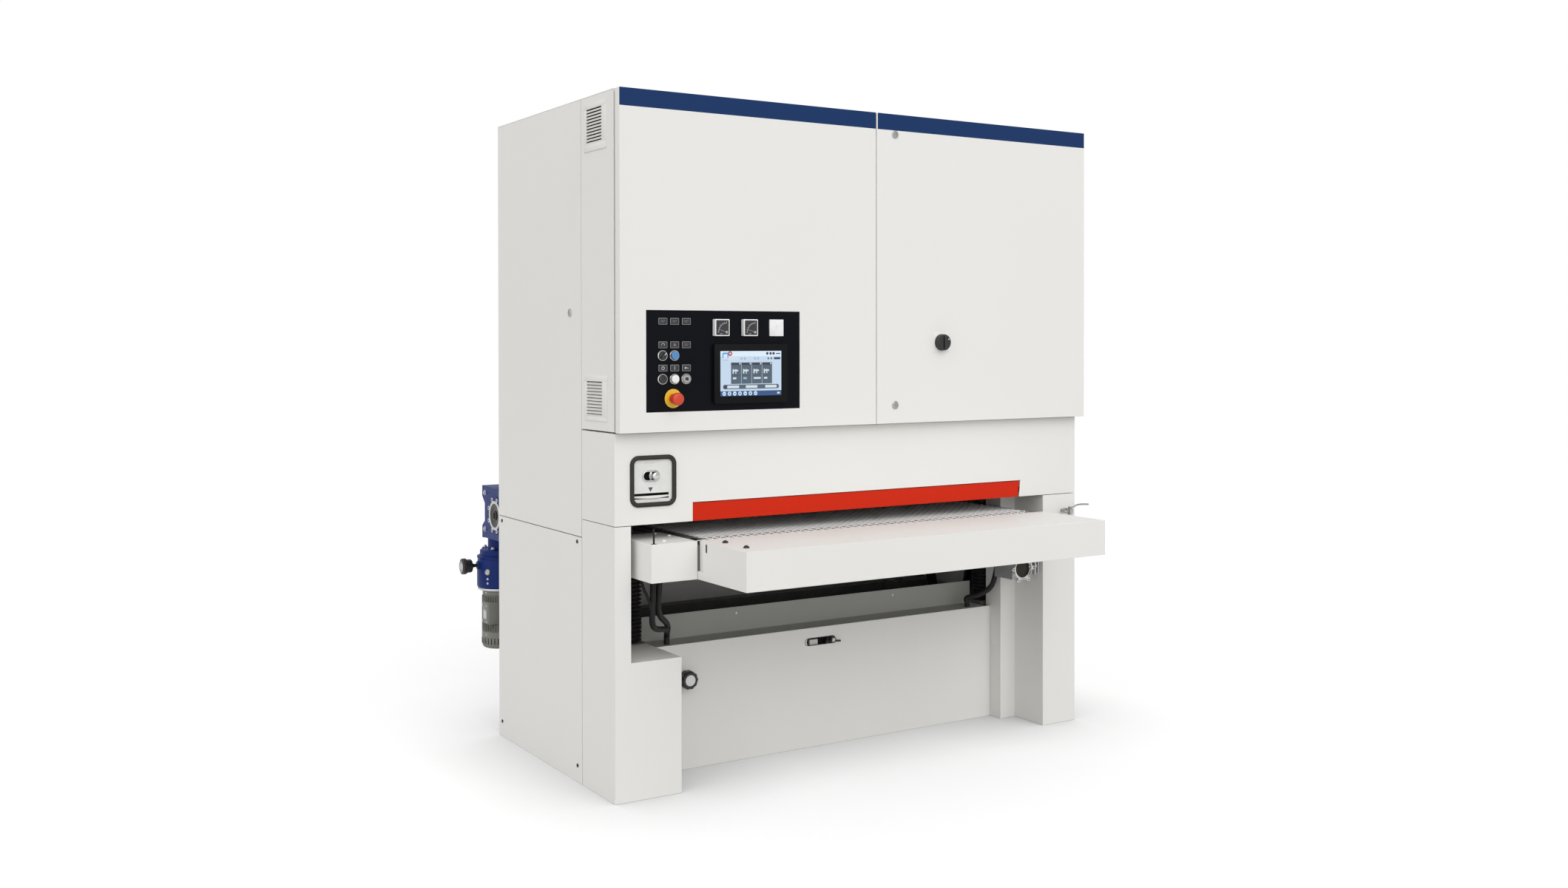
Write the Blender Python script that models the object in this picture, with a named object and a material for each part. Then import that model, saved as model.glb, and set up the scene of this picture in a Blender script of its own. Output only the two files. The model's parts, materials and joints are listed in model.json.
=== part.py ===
"""Wide-belt sander with two contact drums, a feed table that rises on four screws and a hinged hood.

Sizes are in metres. Every place is measured from the machine's left side plane (x), from the front
plane of its posts (y, towards the back) and from the floor (z). The machine empty then puts the
middle of the whole outline on the world's origin.
"""

import math

import bmesh
import bpy
from mathutils import Matrix, Vector
from mathutils.geometry import convex_hull_2d

# Overall sizes.
WIDTH = 1.9226
DEPTH = 0.9772
HEIGHT = 2.2200
GAP = 0.0003            # between pieces that rest on each other
SEAM = 0.003            # between neighbouring sheet covers
SHEET = 0.002           # cover sheet thickness

# Front columns and the panels between them.
COVER_DEPTH = 0.2445
COVER_TOP = 0.8610
POST_WIDTH = 0.0556
FOOT_WIDTH = 0.2334
FOOT_TOP = 0.4335
RIGHT_POST_WIDTH = 0.1603
RIGHT_COLUMN_WIDTH = 0.2307
STEP_Y = 0.1587
PANEL_Y = 0.2192
PANEL_TOP = 0.4223
TRAY_BACK = 0.3200
TRAY_TOP = 0.5070
TRAY_END = 0.2500
SLOT_LEFT, SLOT_RIGHT, SLOT_Z, SLOT_HEIGHT = 0.8514, 0.9747, 0.3728, 0.0280

# Hood over the infeed, and the doors of the cabinet above it.
HOOD_BOTTOM = 0.8630
HOOD_TOP = 1.1505
DOOR_BOTTOM = 1.1535
DOOR_TOP = 2.2190
DOOR_FRONT = -0.0381
DOOR_BACK = -0.0060
DOOR_SPLIT = 0.9700
DOOR_OVERHANG = 0.0108
CABINET_FRONT = 0.0040
CABINET_RETURN = 0.0300
SIDE_DOOR_BOTTOM = 0.8045
PAN_DEPTH = 0.0300
PIVOT_INSET = 0.0100
PIVOT_Y = -0.0120
SIDE_PIVOT_X = 0.0040

# Welded frame.
TUBE = 0.0600
FRAME_SIDE = 0.0306     # from a side plane to the tubes
FRAME_FRONT = 0.2520
FRAME_BACK = 0.9600
BASE_HEIGHT = 0.0800
PAD_HEIGHT = 0.1000     # of the pads that the hood and cabinet bolt to
JACK_RAIL_TOP = 0.4200
MID_RAIL_TOP = 0.8400
HEAD_RAIL_Z = 1.2000
HEAD_RAIL_HEIGHT = 0.0800
FRAME_TOP = 2.1900
LIFT_X = 0.1960
LIFT_FRONT_Y = 0.3075
LIFT_REAR_Y = 0.8525
LIFT_RADIUS = 0.0150
LIFT_TOP = 0.8400
LIFT_PAD_TOP = 0.4330
LIFT_PAD = 0.0900
BELLOWS_RADIUS = 0.0450
BELLOWS_BORE = 0.0300
BELLOWS_FOLDS = 9

# Feed table.
TABLE_LEFT = 0.2354
TABLE_WIDTH = 1.4503
TABLE_PLATE = 0.0150
TABLE_BOTTOM = 0.7000
TABLE_PLATE_TOP = 0.8000
BELT_WIDTH = 1.3690
BELT_THICKNESS = 0.0050
ROLLER_RADIUS = 0.0450
ROLLER_Z = 0.7640
IDLE_Y = -0.0400
DRIVE_Y = 1.2735
SHAFT_RADIUS = 0.0150
BORE_CLEARANCE = 0.0006
BED_THICKNESS = 0.0090
RIB_HEIGHT = 0.0750
BRACKET_BOTTOM = 0.7050
BRACKET_TOP = 0.7750
SHELF_FRONT = -0.4024
SHELF_BACK = -0.1027
SHELF_BOTTOM = 0.6944
SHELF_TOP = 0.8144
NOTCH_FRONT = -0.1370     # the recess at the shelf's back left corner
NOTCH_BOTTOM = 0.7200
NOTCH_DEPTH = 0.0080
SIDE_BOX_LEFT = 0.0740
SIDE_BOX_BACK = 0.1500
SIDE_BOX_TOP = 0.8140

# Sanding head.
DRUM_RADIUS = 0.1100
DRUM_Z = 0.9760
FRONT_DRUM_Y = 0.4300
REAR_DRUM_Y = 0.7800
TENSION_RADIUS = 0.0600
TENSION_Z = 2.0160
SANDING_BELT = 0.0015
SANDING_WIDTH = 1.3660
DRUM_WIDTH = 1.3700
DRUM_SHAFT = 0.0200
HEAD_PLATE = 0.0200
HEAD_LEFT = 0.2420
HEAD_RIGHT = 1.7000
HEAD_PLATE_WIDTH = 0.1200
HEAD_PLATE_TOP = 2.0600
HEAD_BEAM_WIDTH = 0.1000
HEAD_BEAM_LOW, HEAD_BEAM_HIGH = 1.1500, 1.7000
PRESSURE_RADIUS = 0.0280
PRESSURE_Z = 0.8960
PRESSURE_Y = 0.2750
PRESSURE_SHAFT = 0.0080
DRUM_PULLEY = 0.0600
MOTOR_PULLEY = 0.0700
PULLEY_WIDTH = 0.0500
PULLEY_X = WIDTH - FRAME_SIDE - TUBE - 0.0080 - PULLEY_WIDTH
V_BELT_THICKNESS = 0.0120
MOTOR_Y, MOTOR_Z, MOTOR_RADIUS = 0.6050, 0.3000, 0.1300
MOTOR_LEFT, MOTOR_RIGHT = 1.2000, 1.6600

# Feed drive on the table's back left corner.
GEARBOX_LEFT, GEARBOX_RIGHT = 0.1000, 0.2200
GEARBOX_HUB = 0.0750
WORM_X, WORM_Y = 0.1550, 1.3760
WORM_BOX_BACK = 1.4230
WORM_BOX_TOP, WORM_BOX_BOTTOM = 0.8703, 0.6629
VARIATOR_RADIUS, VARIATOR_TOP, VARIATOR_BOTTOM = 0.0850, 0.5990, 0.4735
MOTOR_CASE_RADIUS, MOTOR_CASE_BOTTOM = 0.0670, 0.2350
HANDWHEEL_Z = 0.5620

# Controls.
PANEL_LEFT, PANEL_RIGHT, PANEL_LOW, PANEL_HIGH = 0.0904, 0.6575, 1.2160, 1.5350
PANEL_LIP = 0.0084
PANEL_FACE = -0.0358
PANEL_THICKNESS = 0.0030
BUTTON_COLUMNS = (0.1480, 0.1900, 0.2315)
BUTTON_ROWS = (1.3930, 1.3190)
BUTTON_RADIUS = 0.0165
BUTTON_STEM = 0.0100
BUTTON_DEPTH = 0.0200
BUTTON_PROUD = 0.0070
BUTTON_TRAVEL = 0.0040
KNOB_PROUD = 0.0160
STOP_X, STOP_Z = 0.1840, 1.2575
STOP_RADIUS = 0.0200
STOP_PROUD = 0.0440
SWITCH_X, SWITCH_Z, SWITCH_RADIUS = 1.2500, 1.4330, 0.0290
SWITCH_STEM = 0.0080
LOCK_RADIUS = 0.0110
LOCK_PROUD = 0.0040
DOOR_LOCK_X = 1.0490
DOOR_LOCK_HEIGHTS = (2.1490, 1.2166)
SIDE_LOCK_Y, SIDE_LOCK_Z = 0.3360, 1.5310
WINDOW_LEFT, WINDOW_RIGHT, WINDOW_LOW, WINDOW_HIGH = 0.0615, 0.2058, 0.9280, 1.0715
BAR_LEFT, BAR_RIGHT_TOP, BAR_RIGHT_BOTTOM, BAR_TOP = 0.2747, 1.6479, 1.6391, 0.9235
BAR_PIVOT_Y, BAR_PIVOT_Z, BAR_PIVOT_RADIUS = 0.0120, 0.9130, 0.0050
LUG_WIDTH = 0.0130
FRONT_WHEEL_X, FRONT_WHEEL_Z, FRONT_WHEEL_RADIUS = 0.3550, 0.3100, 0.0310
VALVE_X, VALVE_Y, VALVE_Z = WIDTH - 0.0666, -0.0450, 0.8000
VALVE_LEVER_END = WIDTH + 0.0264
HOSE_RADIUS = 0.0097

# The outline's extremes, which set where the origin lies.
OUTLINE_LEFT = -LOCK_PROUD
OUTLINE_RIGHT = VALVE_LEVER_END
OUTLINE_BACK = WORM_Y + VARIATOR_RADIUS

WHITE = (0.80, 0.79, 0.76, 1)
BLACK = (0.02, 0.02, 0.025, 1)
STEEL = (0.55, 0.55, 0.56, 1)
BLUE = (0.02, 0.05, 0.24, 1)
X_AXIS, Y_AXIS, Z_AXIS = Vector((1, 0, 0)), Vector((0, 1, 0)), Vector((0, 0, 1))


def clear_scene():
    for item in list(bpy.data.objects):
        bpy.data.objects.remove(item)


def new_collection(name):
    collection = bpy.data.collections.new(name)
    bpy.context.scene.collection.children.link(collection)
    return collection


clear_scene()
PARTS = new_collection("wide_belt_sander")
SHAPES = new_collection("construction_shapes")
MACHINE = bpy.data.objects.new("machine", None)
MACHINE.location = (-(OUTLINE_LEFT + OUTLINE_RIGHT) / 2, -(SHELF_FRONT + OUTLINE_BACK) / 2, 0)
PARTS.objects.link(MACHINE)


def shape(mesh_maker):
    """A hidden construction shape in the machine's own coordinates."""
    mesh = bpy.data.meshes.new("shape")
    bm = bmesh.new()
    mesh_maker(bm)
    bm.to_mesh(mesh)
    bm.free()
    item = bpy.data.objects.new("shape", mesh)
    item.hide_render = True
    item.display_type = "WIRE"
    SHAPES.objects.link(item)
    return item


def block(left, right, front, back, bottom, top):
    size = (right - left, back - front, top - bottom)
    middle = ((left + right) / 2, (front + back) / 2, (bottom + top) / 2)

    def make(bm):
        bmesh.ops.create_cube(bm, size=1, matrix=Matrix.Translation(middle) @ Matrix.Diagonal((*size, 1)))

    return shape(make)


def cylinder(centre, axis, length, radius, end_radius=None, sides=24):
    """A cylinder or cone whose middle is at centre; end_radius is at the axis's far end."""
    turn = axis.to_track_quat("Z", "Y").to_matrix().to_4x4()

    def make(bm):
        bmesh.ops.create_cone(
            bm, cap_ends=True, segments=sides, radius1=radius,
            radius2=radius if end_radius is None else end_radius, depth=length,
            matrix=Matrix.Translation(centre) @ turn)

    return shape(make)


def rod_x(left, right, y, z, radius, sides=20):
    return cylinder(((left + right) / 2, y, z), X_AXIS, right - left, radius, sides=sides)


def rod_y(front, back, x, z, radius, sides=20):
    return cylinder((x, (front + back) / 2, z), Y_AXIS, back - front, radius, sides=sides)


def rod_z(bottom, top, x, y, radius, sides=20):
    return cylinder((x, y, (bottom + top) / 2), Z_AXIS, top - bottom, radius, sides=sides)


def prism_x(outline, left, right):
    """A convex outline of (y, z) points pushed along x from left to right."""

    def make(bm):
        near = [bm.verts.new((left, y, z)) for y, z in outline]
        bm.faces.new(near)
        pushed = bmesh.ops.extrude_face_region(bm, geom=bm.faces[:])["geom"]
        corners = [item for item in pushed if isinstance(item, bmesh.types.BMVert)]
        bmesh.ops.translate(bm, verts=corners, vec=(right - left, 0, 0))
        bmesh.ops.recalc_face_normals(bm, faces=bm.faces[:])

    return shape(make)


def prism_y(outline, front, back):
    """A convex outline of (x, z) points pushed along y from front to back."""

    def make(bm):
        near = [bm.verts.new((x, front, z)) for x, z in outline]
        bm.faces.new(near)
        pushed = bmesh.ops.extrude_face_region(bm, geom=bm.faces[:])["geom"]
        corners = [item for item in pushed if isinstance(item, bmesh.types.BMVert)]
        bmesh.ops.translate(bm, verts=corners, vec=(0, back - front, 0))
        bmesh.ops.recalc_face_normals(bm, faces=bm.faces[:])

    return shape(make)


def loop_outline(circles, grow, sides=36):
    """The outline of a belt pulled tight round circles of (y, z, radius), its flats grown clear of them."""
    points = []
    for y, z, radius in circles:
        for step in range(sides):
            angle = 2 * math.pi * step / sides
            reach = (radius + grow) / math.cos(math.pi / sides)
            points.append(Vector((y + reach * math.cos(angle), z + reach * math.sin(angle))))
    return [tuple(points[i]) for i in convex_hull_2d(points)]


def material(name, colour, roughness, metallic):
    made = bpy.data.materials.new(name)
    made.use_nodes = True
    shader = made.node_tree.nodes["Principled BSDF"]
    shader.inputs["Base Color"].default_value = colour
    shader.inputs["Roughness"].default_value = roughness
    shader.inputs["Metallic"].default_value = metallic
    made.diffuse_color = colour
    return made


def piece(name, colour, origin, add, cut=(), after=(), roughness=0.45, metallic=0.0):
    """One solid: the shapes in add joined, those in cut taken away, those in after joined; origin is its origin."""
    first = add[0]
    for operation, group in (("UNION", add[1:]), ("DIFFERENCE", cut), ("UNION", after)):
        for tool in group:
            modifier = first.modifiers.new(operation.lower(), "BOOLEAN")
            modifier.operation = operation
            modifier.solver = "MANIFOLD"
            modifier.object = tool
    made = bpy.data.objects.new(name, finished_mesh(first))
    made.data.name = name
    made.data.transform(Matrix.Translation(-Vector(origin)))
    made.data.shade_smooth()
    made.data.set_sharp_from_angle(angle=math.radians(35))
    made.data.materials.clear()
    made.data.materials.append(material(name, colour, roughness, metallic))
    made.location = origin
    made.parent = MACHINE
    PARTS.objects.link(made)
    for tool in (*add, *cut, *after):
        bpy.data.objects.remove(tool)
    return made


def finished_mesh(item):
    """The item's mesh with its modifiers applied."""
    bpy.context.view_layer.update()
    evaluated = item.evaluated_get(bpy.context.evaluated_depsgraph_get())
    return bpy.data.meshes.new_from_object(evaluated)


def tube(name, colour, route, radius, others=(), roughness=0.6):
    """A hose through a list of points, joined with the hoses in others."""
    made = [hose_shape(points, radius) for points in (route, *others)]
    return piece(name, colour, route[0], made, roughness=roughness)


def hose_shape(points, radius):
    curve = bpy.data.curves.new("hose", "CURVE")
    curve.dimensions = "3D"
    curve.bevel_depth = radius
    curve.bevel_resolution = 2
    curve.use_fill_caps = True
    spline = curve.splines.new("POLY")
    route = smooth_route(points, 3)
    spline.points.add(len(route) - 1)
    for point, place in zip(spline.points, route):
        point.co = (*place, 1)
    guide = bpy.data.objects.new("hose", curve)
    SHAPES.objects.link(guide)
    mesh = finished_mesh(guide)
    bpy.data.objects.remove(guide)

    def make(bm):
        bm.from_mesh(mesh)
        bmesh.ops.remove_doubles(bm, verts=bm.verts[:], dist=0.00001)

    return shape(make)


def smooth_route(points, steps):
    """Points on a Catmull-Rom curve through the given ones."""
    knots = [Vector(p) for p in points]
    knots = [2 * knots[0] - knots[1], *knots, 2 * knots[-1] - knots[-2]]
    route = []
    for a, b, c, d in zip(knots, knots[1:], knots[2:], knots[3:]):
        for step in range(steps):
            t = step / steps
            route.append(0.5 * (2 * b + (c - a) * t + (2 * a - 5 * b + 4 * c - d) * t ** 2
                                + (3 * b - a - 3 * c + d) * t ** 3))
    route.append(knots[-2])
    return route


def pan(left, right, front, back, bottom, top, open_side):
    """A sheet pan as (outer block, inner cutter); open_side is the side its returns point to."""
    low = [left + SHEET, front + SHEET, bottom + SHEET]
    high = [right - SHEET, back - SHEET, top - SHEET]
    index = "xyz".index(open_side[1])
    if open_side[0] == "+":
        high[index] += 2 * SHEET
    else:
        low[index] -= 2 * SHEET
    return block(left, right, front, back, bottom, top), block(low[0], high[0], low[1], high[1], low[2], high[2])


def build_main_frame():
    left, right = FRAME_SIDE, WIDTH - FRAME_SIDE
    sides = ((left, left + TUBE), (right - TUBE, right))
    add = [block(left, right, FRAME_FRONT, FRAME_FRONT + TUBE, 0, BASE_HEIGHT)]
    for low, high in sides:
        for front in (FRAME_FRONT, FRAME_BACK - TUBE):
            add.append(block(low, high, front, front + TUBE, 0, FRAME_TOP))
        for bottom, top in ((0, BASE_HEIGHT), (JACK_RAIL_TOP - TUBE, JACK_RAIL_TOP),
                            (MID_RAIL_TOP - TUBE, MID_RAIL_TOP), (FRAME_TOP - TUBE, FRAME_TOP)):
            add.append(block(low, high, FRAME_FRONT, FRAME_BACK, bottom, top))
    low, high = sides[1]
    add.append(block(low, high, FRAME_FRONT, FRAME_BACK, HEAD_RAIL_Z, HEAD_RAIL_Z + HEAD_RAIL_HEIGHT))
    for front in (FRAME_FRONT, FRAME_BACK - TUBE):
        add.append(block(left, right, front, front + TUBE, FRAME_TOP - TUBE, FRAME_TOP))
        add.append(block(left, right, front, front + TUBE, JACK_RAIL_TOP - TUBE, JACK_RAIL_TOP))
    add.append(block(left, right, FRAME_BACK - TUBE, FRAME_BACK, 0, BASE_HEIGHT))
    for low, high in sides:
        for bottom in (0.95, 1.25, 2.05):
            add.append(block(low, high, COVER_DEPTH + GAP, FRAME_FRONT + 0.001, bottom, bottom + PAD_HEIGHT))
    for rail in (MOTOR_LEFT + 0.05, MOTOR_RIGHT - 0.11):
        add.append(block(rail, rail + TUBE, FRAME_FRONT, FRAME_BACK, 0, BASE_HEIGHT))
    for y in (LIFT_FRONT_Y, LIFT_REAR_Y):
        for x, reach in ((LIFT_X, left), (WIDTH - LIFT_X, right)):
            near, far = sorted((x, reach))
            near, far = (near, x + LIFT_PAD / 2) if near == reach else (x - LIFT_PAD / 2, far)
            add.append(block(near, far, y - LIFT_PAD / 2, y + LIFT_PAD / 2,
                             JACK_RAIL_TOP - TUBE / 2, LIFT_PAD_TOP))
            add.append(rod_z(JACK_RAIL_TOP, LIFT_TOP, x, y, LIFT_RADIUS, sides=20))
    piece("main_frame", (0.30, 0.31, 0.31, 1), (0, 0, 0), add, metallic=0.2)


def build_covers():
    deep = COVER_DEPTH + 0.02
    outer = [block(0, POST_WIDTH, 0, COVER_DEPTH, 0, COVER_TOP),
             block(0, FOOT_WIDTH, 0, COVER_DEPTH, 0, FOOT_TOP)]
    inner = [block(SHEET, POST_WIDTH - SHEET, SHEET, deep, -0.01, COVER_TOP - SHEET),
             block(SHEET, FOOT_WIDTH - SHEET, SHEET, deep, -0.01, FOOT_TOP - SHEET)]
    piece("left_front_cover", WHITE, (0, 0, 0), outer, inner)
    post, column = WIDTH - RIGHT_POST_WIDTH, WIDTH - RIGHT_COLUMN_WIDTH
    outer = [block(post, WIDTH, 0, COVER_DEPTH, 0, COVER_TOP),
             block(column, WIDTH, STEP_Y, COVER_DEPTH, 0, COVER_TOP)]
    inner = [block(post + SHEET, WIDTH - SHEET, SHEET, deep, -0.01, COVER_TOP - SHEET),
             block(column + SHEET, WIDTH - SHEET, STEP_Y + SHEET, deep, -0.01, COVER_TOP - SHEET)]
    piece("right_front_cover", WHITE, (WIDTH, 0, 0), outer, inner)
    left, right = FOOT_WIDTH + GAP, column - GAP
    round_end = SLOT_HEIGHT / 2
    back = PANEL_Y + SHEET
    slot = [block(SLOT_LEFT + round_end, SLOT_RIGHT - round_end, PANEL_Y - 0.01, back + 0.01,
                  SLOT_Z - round_end, SLOT_Z + round_end)]
    for x in (SLOT_LEFT + round_end, SLOT_RIGHT - round_end):
        slot.append(rod_y(PANEL_Y - 0.01, back + 0.01, x, SLOT_Z, round_end, sides=20))
    piece("lower_front_panel", WHITE, (left, PANEL_Y, 0),
          [block(left, right, PANEL_Y, back, 0, PANEL_TOP)], slot)
    tray = [block(TRAY_END, WIDTH - TRAY_END, back + GAP, TRAY_BACK, JACK_RAIL_TOP + GAP, PANEL_TOP + GAP),
            block(TRAY_END, WIDTH - TRAY_END, TRAY_BACK - SHEET, TRAY_BACK, JACK_RAIL_TOP + GAP, TRAY_TOP)]
    piece("under_table_tray", (0.45, 0.45, 0.43, 1), (TRAY_END, TRAY_BACK, JACK_RAIL_TOP), tray)


def build_side_and_rear_panels():
    front, back = COVER_DEPTH + SEAM, DEPTH - 0.0015
    outer, inner = pan(0, PAN_DEPTH, front, back, 0, SIDE_DOOR_BOTTOM - SEAM, "+x")
    piece("left_lower_panel", WHITE, (0, front, 0), [outer], [inner])
    outer, inner = pan(WIDTH - PAN_DEPTH, WIDTH, front, back, 0, HEIGHT - 0.002, "-x")
    piece("right_side_panel", WHITE, (WIDTH, front, 0), [outer], [inner])
    inset = PAN_DEPTH + 0.004
    depth_front = FRAME_BACK + 2 * GAP
    outer, inner = pan(inset, WIDTH - inset, depth_front, DEPTH, 0.89, HEIGHT - 0.002, "-y")
    piece("rear_upper_panel", WHITE, (inset, DEPTH, 0.89), [outer], [inner])
    outer, inner = pan(inset, WIDTH - inset, depth_front, DEPTH, 0, 0.575, "-y")
    piece("rear_lower_panel", WHITE, (inset, DEPTH, 0), [outer], [inner])
    low, high = HEIGHT - 0.002 + GAP, HEIGHT + GAP
    spigots = [(x, 0.62) for x in (0.55, WIDTH - 0.55)]
    add = [block(0, WIDTH, CABINET_FRONT, DEPTH, low, high)]
    add += [rod_z(low, high + 0.085, x, y, 0.075, sides=32) for x, y in spigots]
    cut = [rod_z(low - 0.01, high + 0.1, x, y, 0.073, sides=32) for x, y in spigots]
    piece("top_cover", WHITE, (0, 0, low), add, cut)


def build_hood_and_cabinet():
    deep = COVER_DEPTH + 0.02
    add = [block(0, WIDTH, 0, COVER_DEPTH, HOOD_BOTTOM, HOOD_TOP)]
    cut = [block(SHEET, WIDTH - SHEET, SHEET, deep, HOOD_BOTTOM - 0.01, HOOD_TOP - SHEET),
           block(WINDOW_LEFT, WINDOW_RIGHT, -0.01, SHEET + 0.001, WINDOW_LOW, WINDOW_HIGH),
           prism_y([(BAR_LEFT, HOOD_BOTTOM - 0.01), (BAR_RIGHT_BOTTOM + 0.004, HOOD_BOTTOM - 0.01),
                    (BAR_RIGHT_TOP + 0.004, BAR_TOP), (BAR_LEFT, BAR_TOP)], -0.01, SHEET + 0.001)]
    lugs = [block(side, side + LUG_WIDTH, SHEET - 0.001, BAR_PIVOT_Y + LUG_WIDTH / 2,
                  BAR_PIVOT_Z - LUG_WIDTH, BAR_PIVOT_Z + LUG_WIDTH)
            for side in (BAR_LEFT - LUG_WIDTH, BAR_RIGHT_TOP + 0.004)]
    flange = FRAME_SIDE + TUBE
    flanges = [block(side, side + flange, COVER_DEPTH - SHEET, COVER_DEPTH, HOOD_BOTTOM, HOOD_TOP)
               for side in (0, WIDTH - flange)]
    piece("hood_panel", WHITE, (0, 0, HOOD_BOTTOM), add, cut, after=lugs + flanges)
    left_wall, right_wall = SHEET, WIDTH - SHEET
    floor = DOOR_BOTTOM + 0.002
    top = HEIGHT - 0.002
    add = [block(0, WIDTH, CABINET_FRONT, COVER_DEPTH, floor, top)]
    opening_low, opening_high = floor + CABINET_RETURN, top - CABINET_RETURN
    middle = DOOR_SPLIT - CABINET_RETURN / 2
    cut = [block(left_wall, right_wall, CABINET_FRONT + SHEET, COVER_DEPTH - SHEET, floor + SHEET, top - SHEET),
           block(CABINET_RETURN, middle, -0.01, CABINET_FRONT + 0.003, opening_low, opening_high),
           block(middle + CABINET_RETURN, WIDTH - CABINET_RETURN, -0.01, CABINET_FRONT + 0.003,
                 opening_low, opening_high)]
    for low in (1.1985, 2.0660):
        for wall in (-0.01, WIDTH - 0.01):
            cut.append(block(wall, wall + 0.02, 0.0868, 0.2017, low, low + 0.1120))
    piece("electrical_cabinet", WHITE, (0, CABINET_FRONT, floor), add, cut)


def build_sanding_head():
    drums = ((FRONT_DRUM_Y, "front"), (REAR_DRUM_Y, "rear"))
    bore = DRUM_SHAFT + BORE_CLEARANCE
    foot_low, foot_high = PRESSURE_Z - 0.02, PRESSURE_Z + 0.034
    plate_front = PRESSURE_Y - 0.02
    half = HEAD_PLATE_WIDTH / 2
    right = HEAD_RIGHT + HEAD_PLATE
    add = [block(HEAD_RIGHT, right, FRONT_DRUM_Y - half, REAR_DRUM_Y + half, foot_low, HEAD_PLATE_TOP),
           block(HEAD_RIGHT, right, plate_front, FRONT_DRUM_Y, foot_low, foot_high)]
    cut = []
    for y, _ in drums:
        add.append(block(HEAD_LEFT, HEAD_LEFT + HEAD_PLATE, y - half, y + half, foot_low, HEAD_PLATE_TOP))
        add.append(block(HEAD_LEFT, right, y - HEAD_BEAM_WIDTH / 2, y + HEAD_BEAM_WIDTH / 2,
                         HEAD_BEAM_LOW, HEAD_BEAM_HIGH))
        add.append(block(right - 0.001, WIDTH - FRAME_SIDE - TUBE - GAP, y - half, y + half,
                         HEAD_RAIL_Z, HEAD_RAIL_Z + HEAD_RAIL_HEIGHT))
        for z in (DRUM_Z, TENSION_Z):
            cut.append(rod_x(HEAD_LEFT - 0.01, HEAD_LEFT + HEAD_PLATE + 0.01, y, z, bore))
            cut.append(rod_x(HEAD_RIGHT - 0.01, right + 0.01, y, z, bore))
    add.append(block(HEAD_LEFT, HEAD_LEFT + HEAD_PLATE, plate_front, FRONT_DRUM_Y, foot_low, foot_high))
    small_bore = PRESSURE_SHAFT + BORE_CLEARANCE
    cut.append(rod_x(HEAD_LEFT - 0.01, HEAD_LEFT + HEAD_PLATE + 0.01, PRESSURE_Y, PRESSURE_Z, small_bore))
    cut.append(rod_x(HEAD_RIGHT - 0.01, right + 0.01, PRESSURE_Y, PRESSURE_Z, small_bore))
    piece("sanding_head_frame", (0.28, 0.30, 0.32, 1), (HEAD_RIGHT, 0, DRUM_Z), add, cut, metallic=0.2)

    bar_right = FRAME_SIDE + TUBE + TUBE
    lock_bar = [block(FRAME_SIDE + TUBE - 0.01, bar_right, FRAME_FRONT + TUBE + GAP, FRAME_BACK - TUBE - GAP,
                      HEAD_RAIL_Z, HEAD_RAIL_Z + HEAD_RAIL_HEIGHT)]
    for y, _ in drums:
        lock_bar.append(block(bar_right - 0.001, HEAD_LEFT - GAP, y - TUBE / 2, y + TUBE / 2,
                              HEAD_RAIL_Z + 0.01, HEAD_RAIL_Z + HEAD_RAIL_HEIGHT - 0.01))
    piece("belt_change_bar", (0.60, 0.08, 0.04, 1), (bar_right, 0, HEAD_RAIL_Z), lock_bar)

    drum_left = (HEAD_LEFT + HEAD_PLATE + HEAD_RIGHT - DRUM_WIDTH) / 2
    drum_right = drum_left + DRUM_WIDTH
    shaft_right = right + 0.004
    for y, place in drums:
        add = [rod_x(drum_left, drum_right, y, DRUM_Z, DRUM_RADIUS, sides=32),
               rod_x(HEAD_LEFT - 0.004, PULLEY_X + PULLEY_WIDTH / 2, y, DRUM_Z, DRUM_SHAFT),
               rod_x(PULLEY_X, PULLEY_X + PULLEY_WIDTH, y, DRUM_Z, DRUM_PULLEY, sides=32)]
        piece(f"{place}_contact_drum", BLACK, (drum_left, y, DRUM_Z), add, roughness=0.7)
        add = [rod_x(drum_left, drum_right, y, TENSION_Z, TENSION_RADIUS, sides=32),
               rod_x(HEAD_LEFT - 0.004, shaft_right, y, TENSION_Z, DRUM_SHAFT)]
        piece(f"{place}_tension_roller", STEEL, (drum_left, y, TENSION_Z), add, roughness=0.3, metallic=0.9)
        circles = ((y, DRUM_Z, DRUM_RADIUS), (y, TENSION_Z, TENSION_RADIUS))
        belt_left = drum_left + (DRUM_WIDTH - SANDING_WIDTH) / 2
        outer = prism_x(loop_outline(circles, GAP + SANDING_BELT), belt_left, belt_left + SANDING_WIDTH)
        inner = prism_x(loop_outline(circles, GAP), belt_left - 0.01, belt_left + SANDING_WIDTH + 0.01)
        piece(f"{place}_sanding_belt", (0.30, 0.14, 0.06, 1), (belt_left, y, DRUM_Z), [outer], [inner],
              roughness=0.9)
    add = [rod_x(drum_left, drum_right, PRESSURE_Y, PRESSURE_Z, PRESSURE_RADIUS),
           rod_x(HEAD_LEFT - 0.002, right + 0.002, PRESSURE_Y, PRESSURE_Z, PRESSURE_SHAFT, sides=16)]
    piece("pressure_roller", BLACK, (drum_left, PRESSURE_Y, PRESSURE_Z), add, roughness=0.8)


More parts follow.
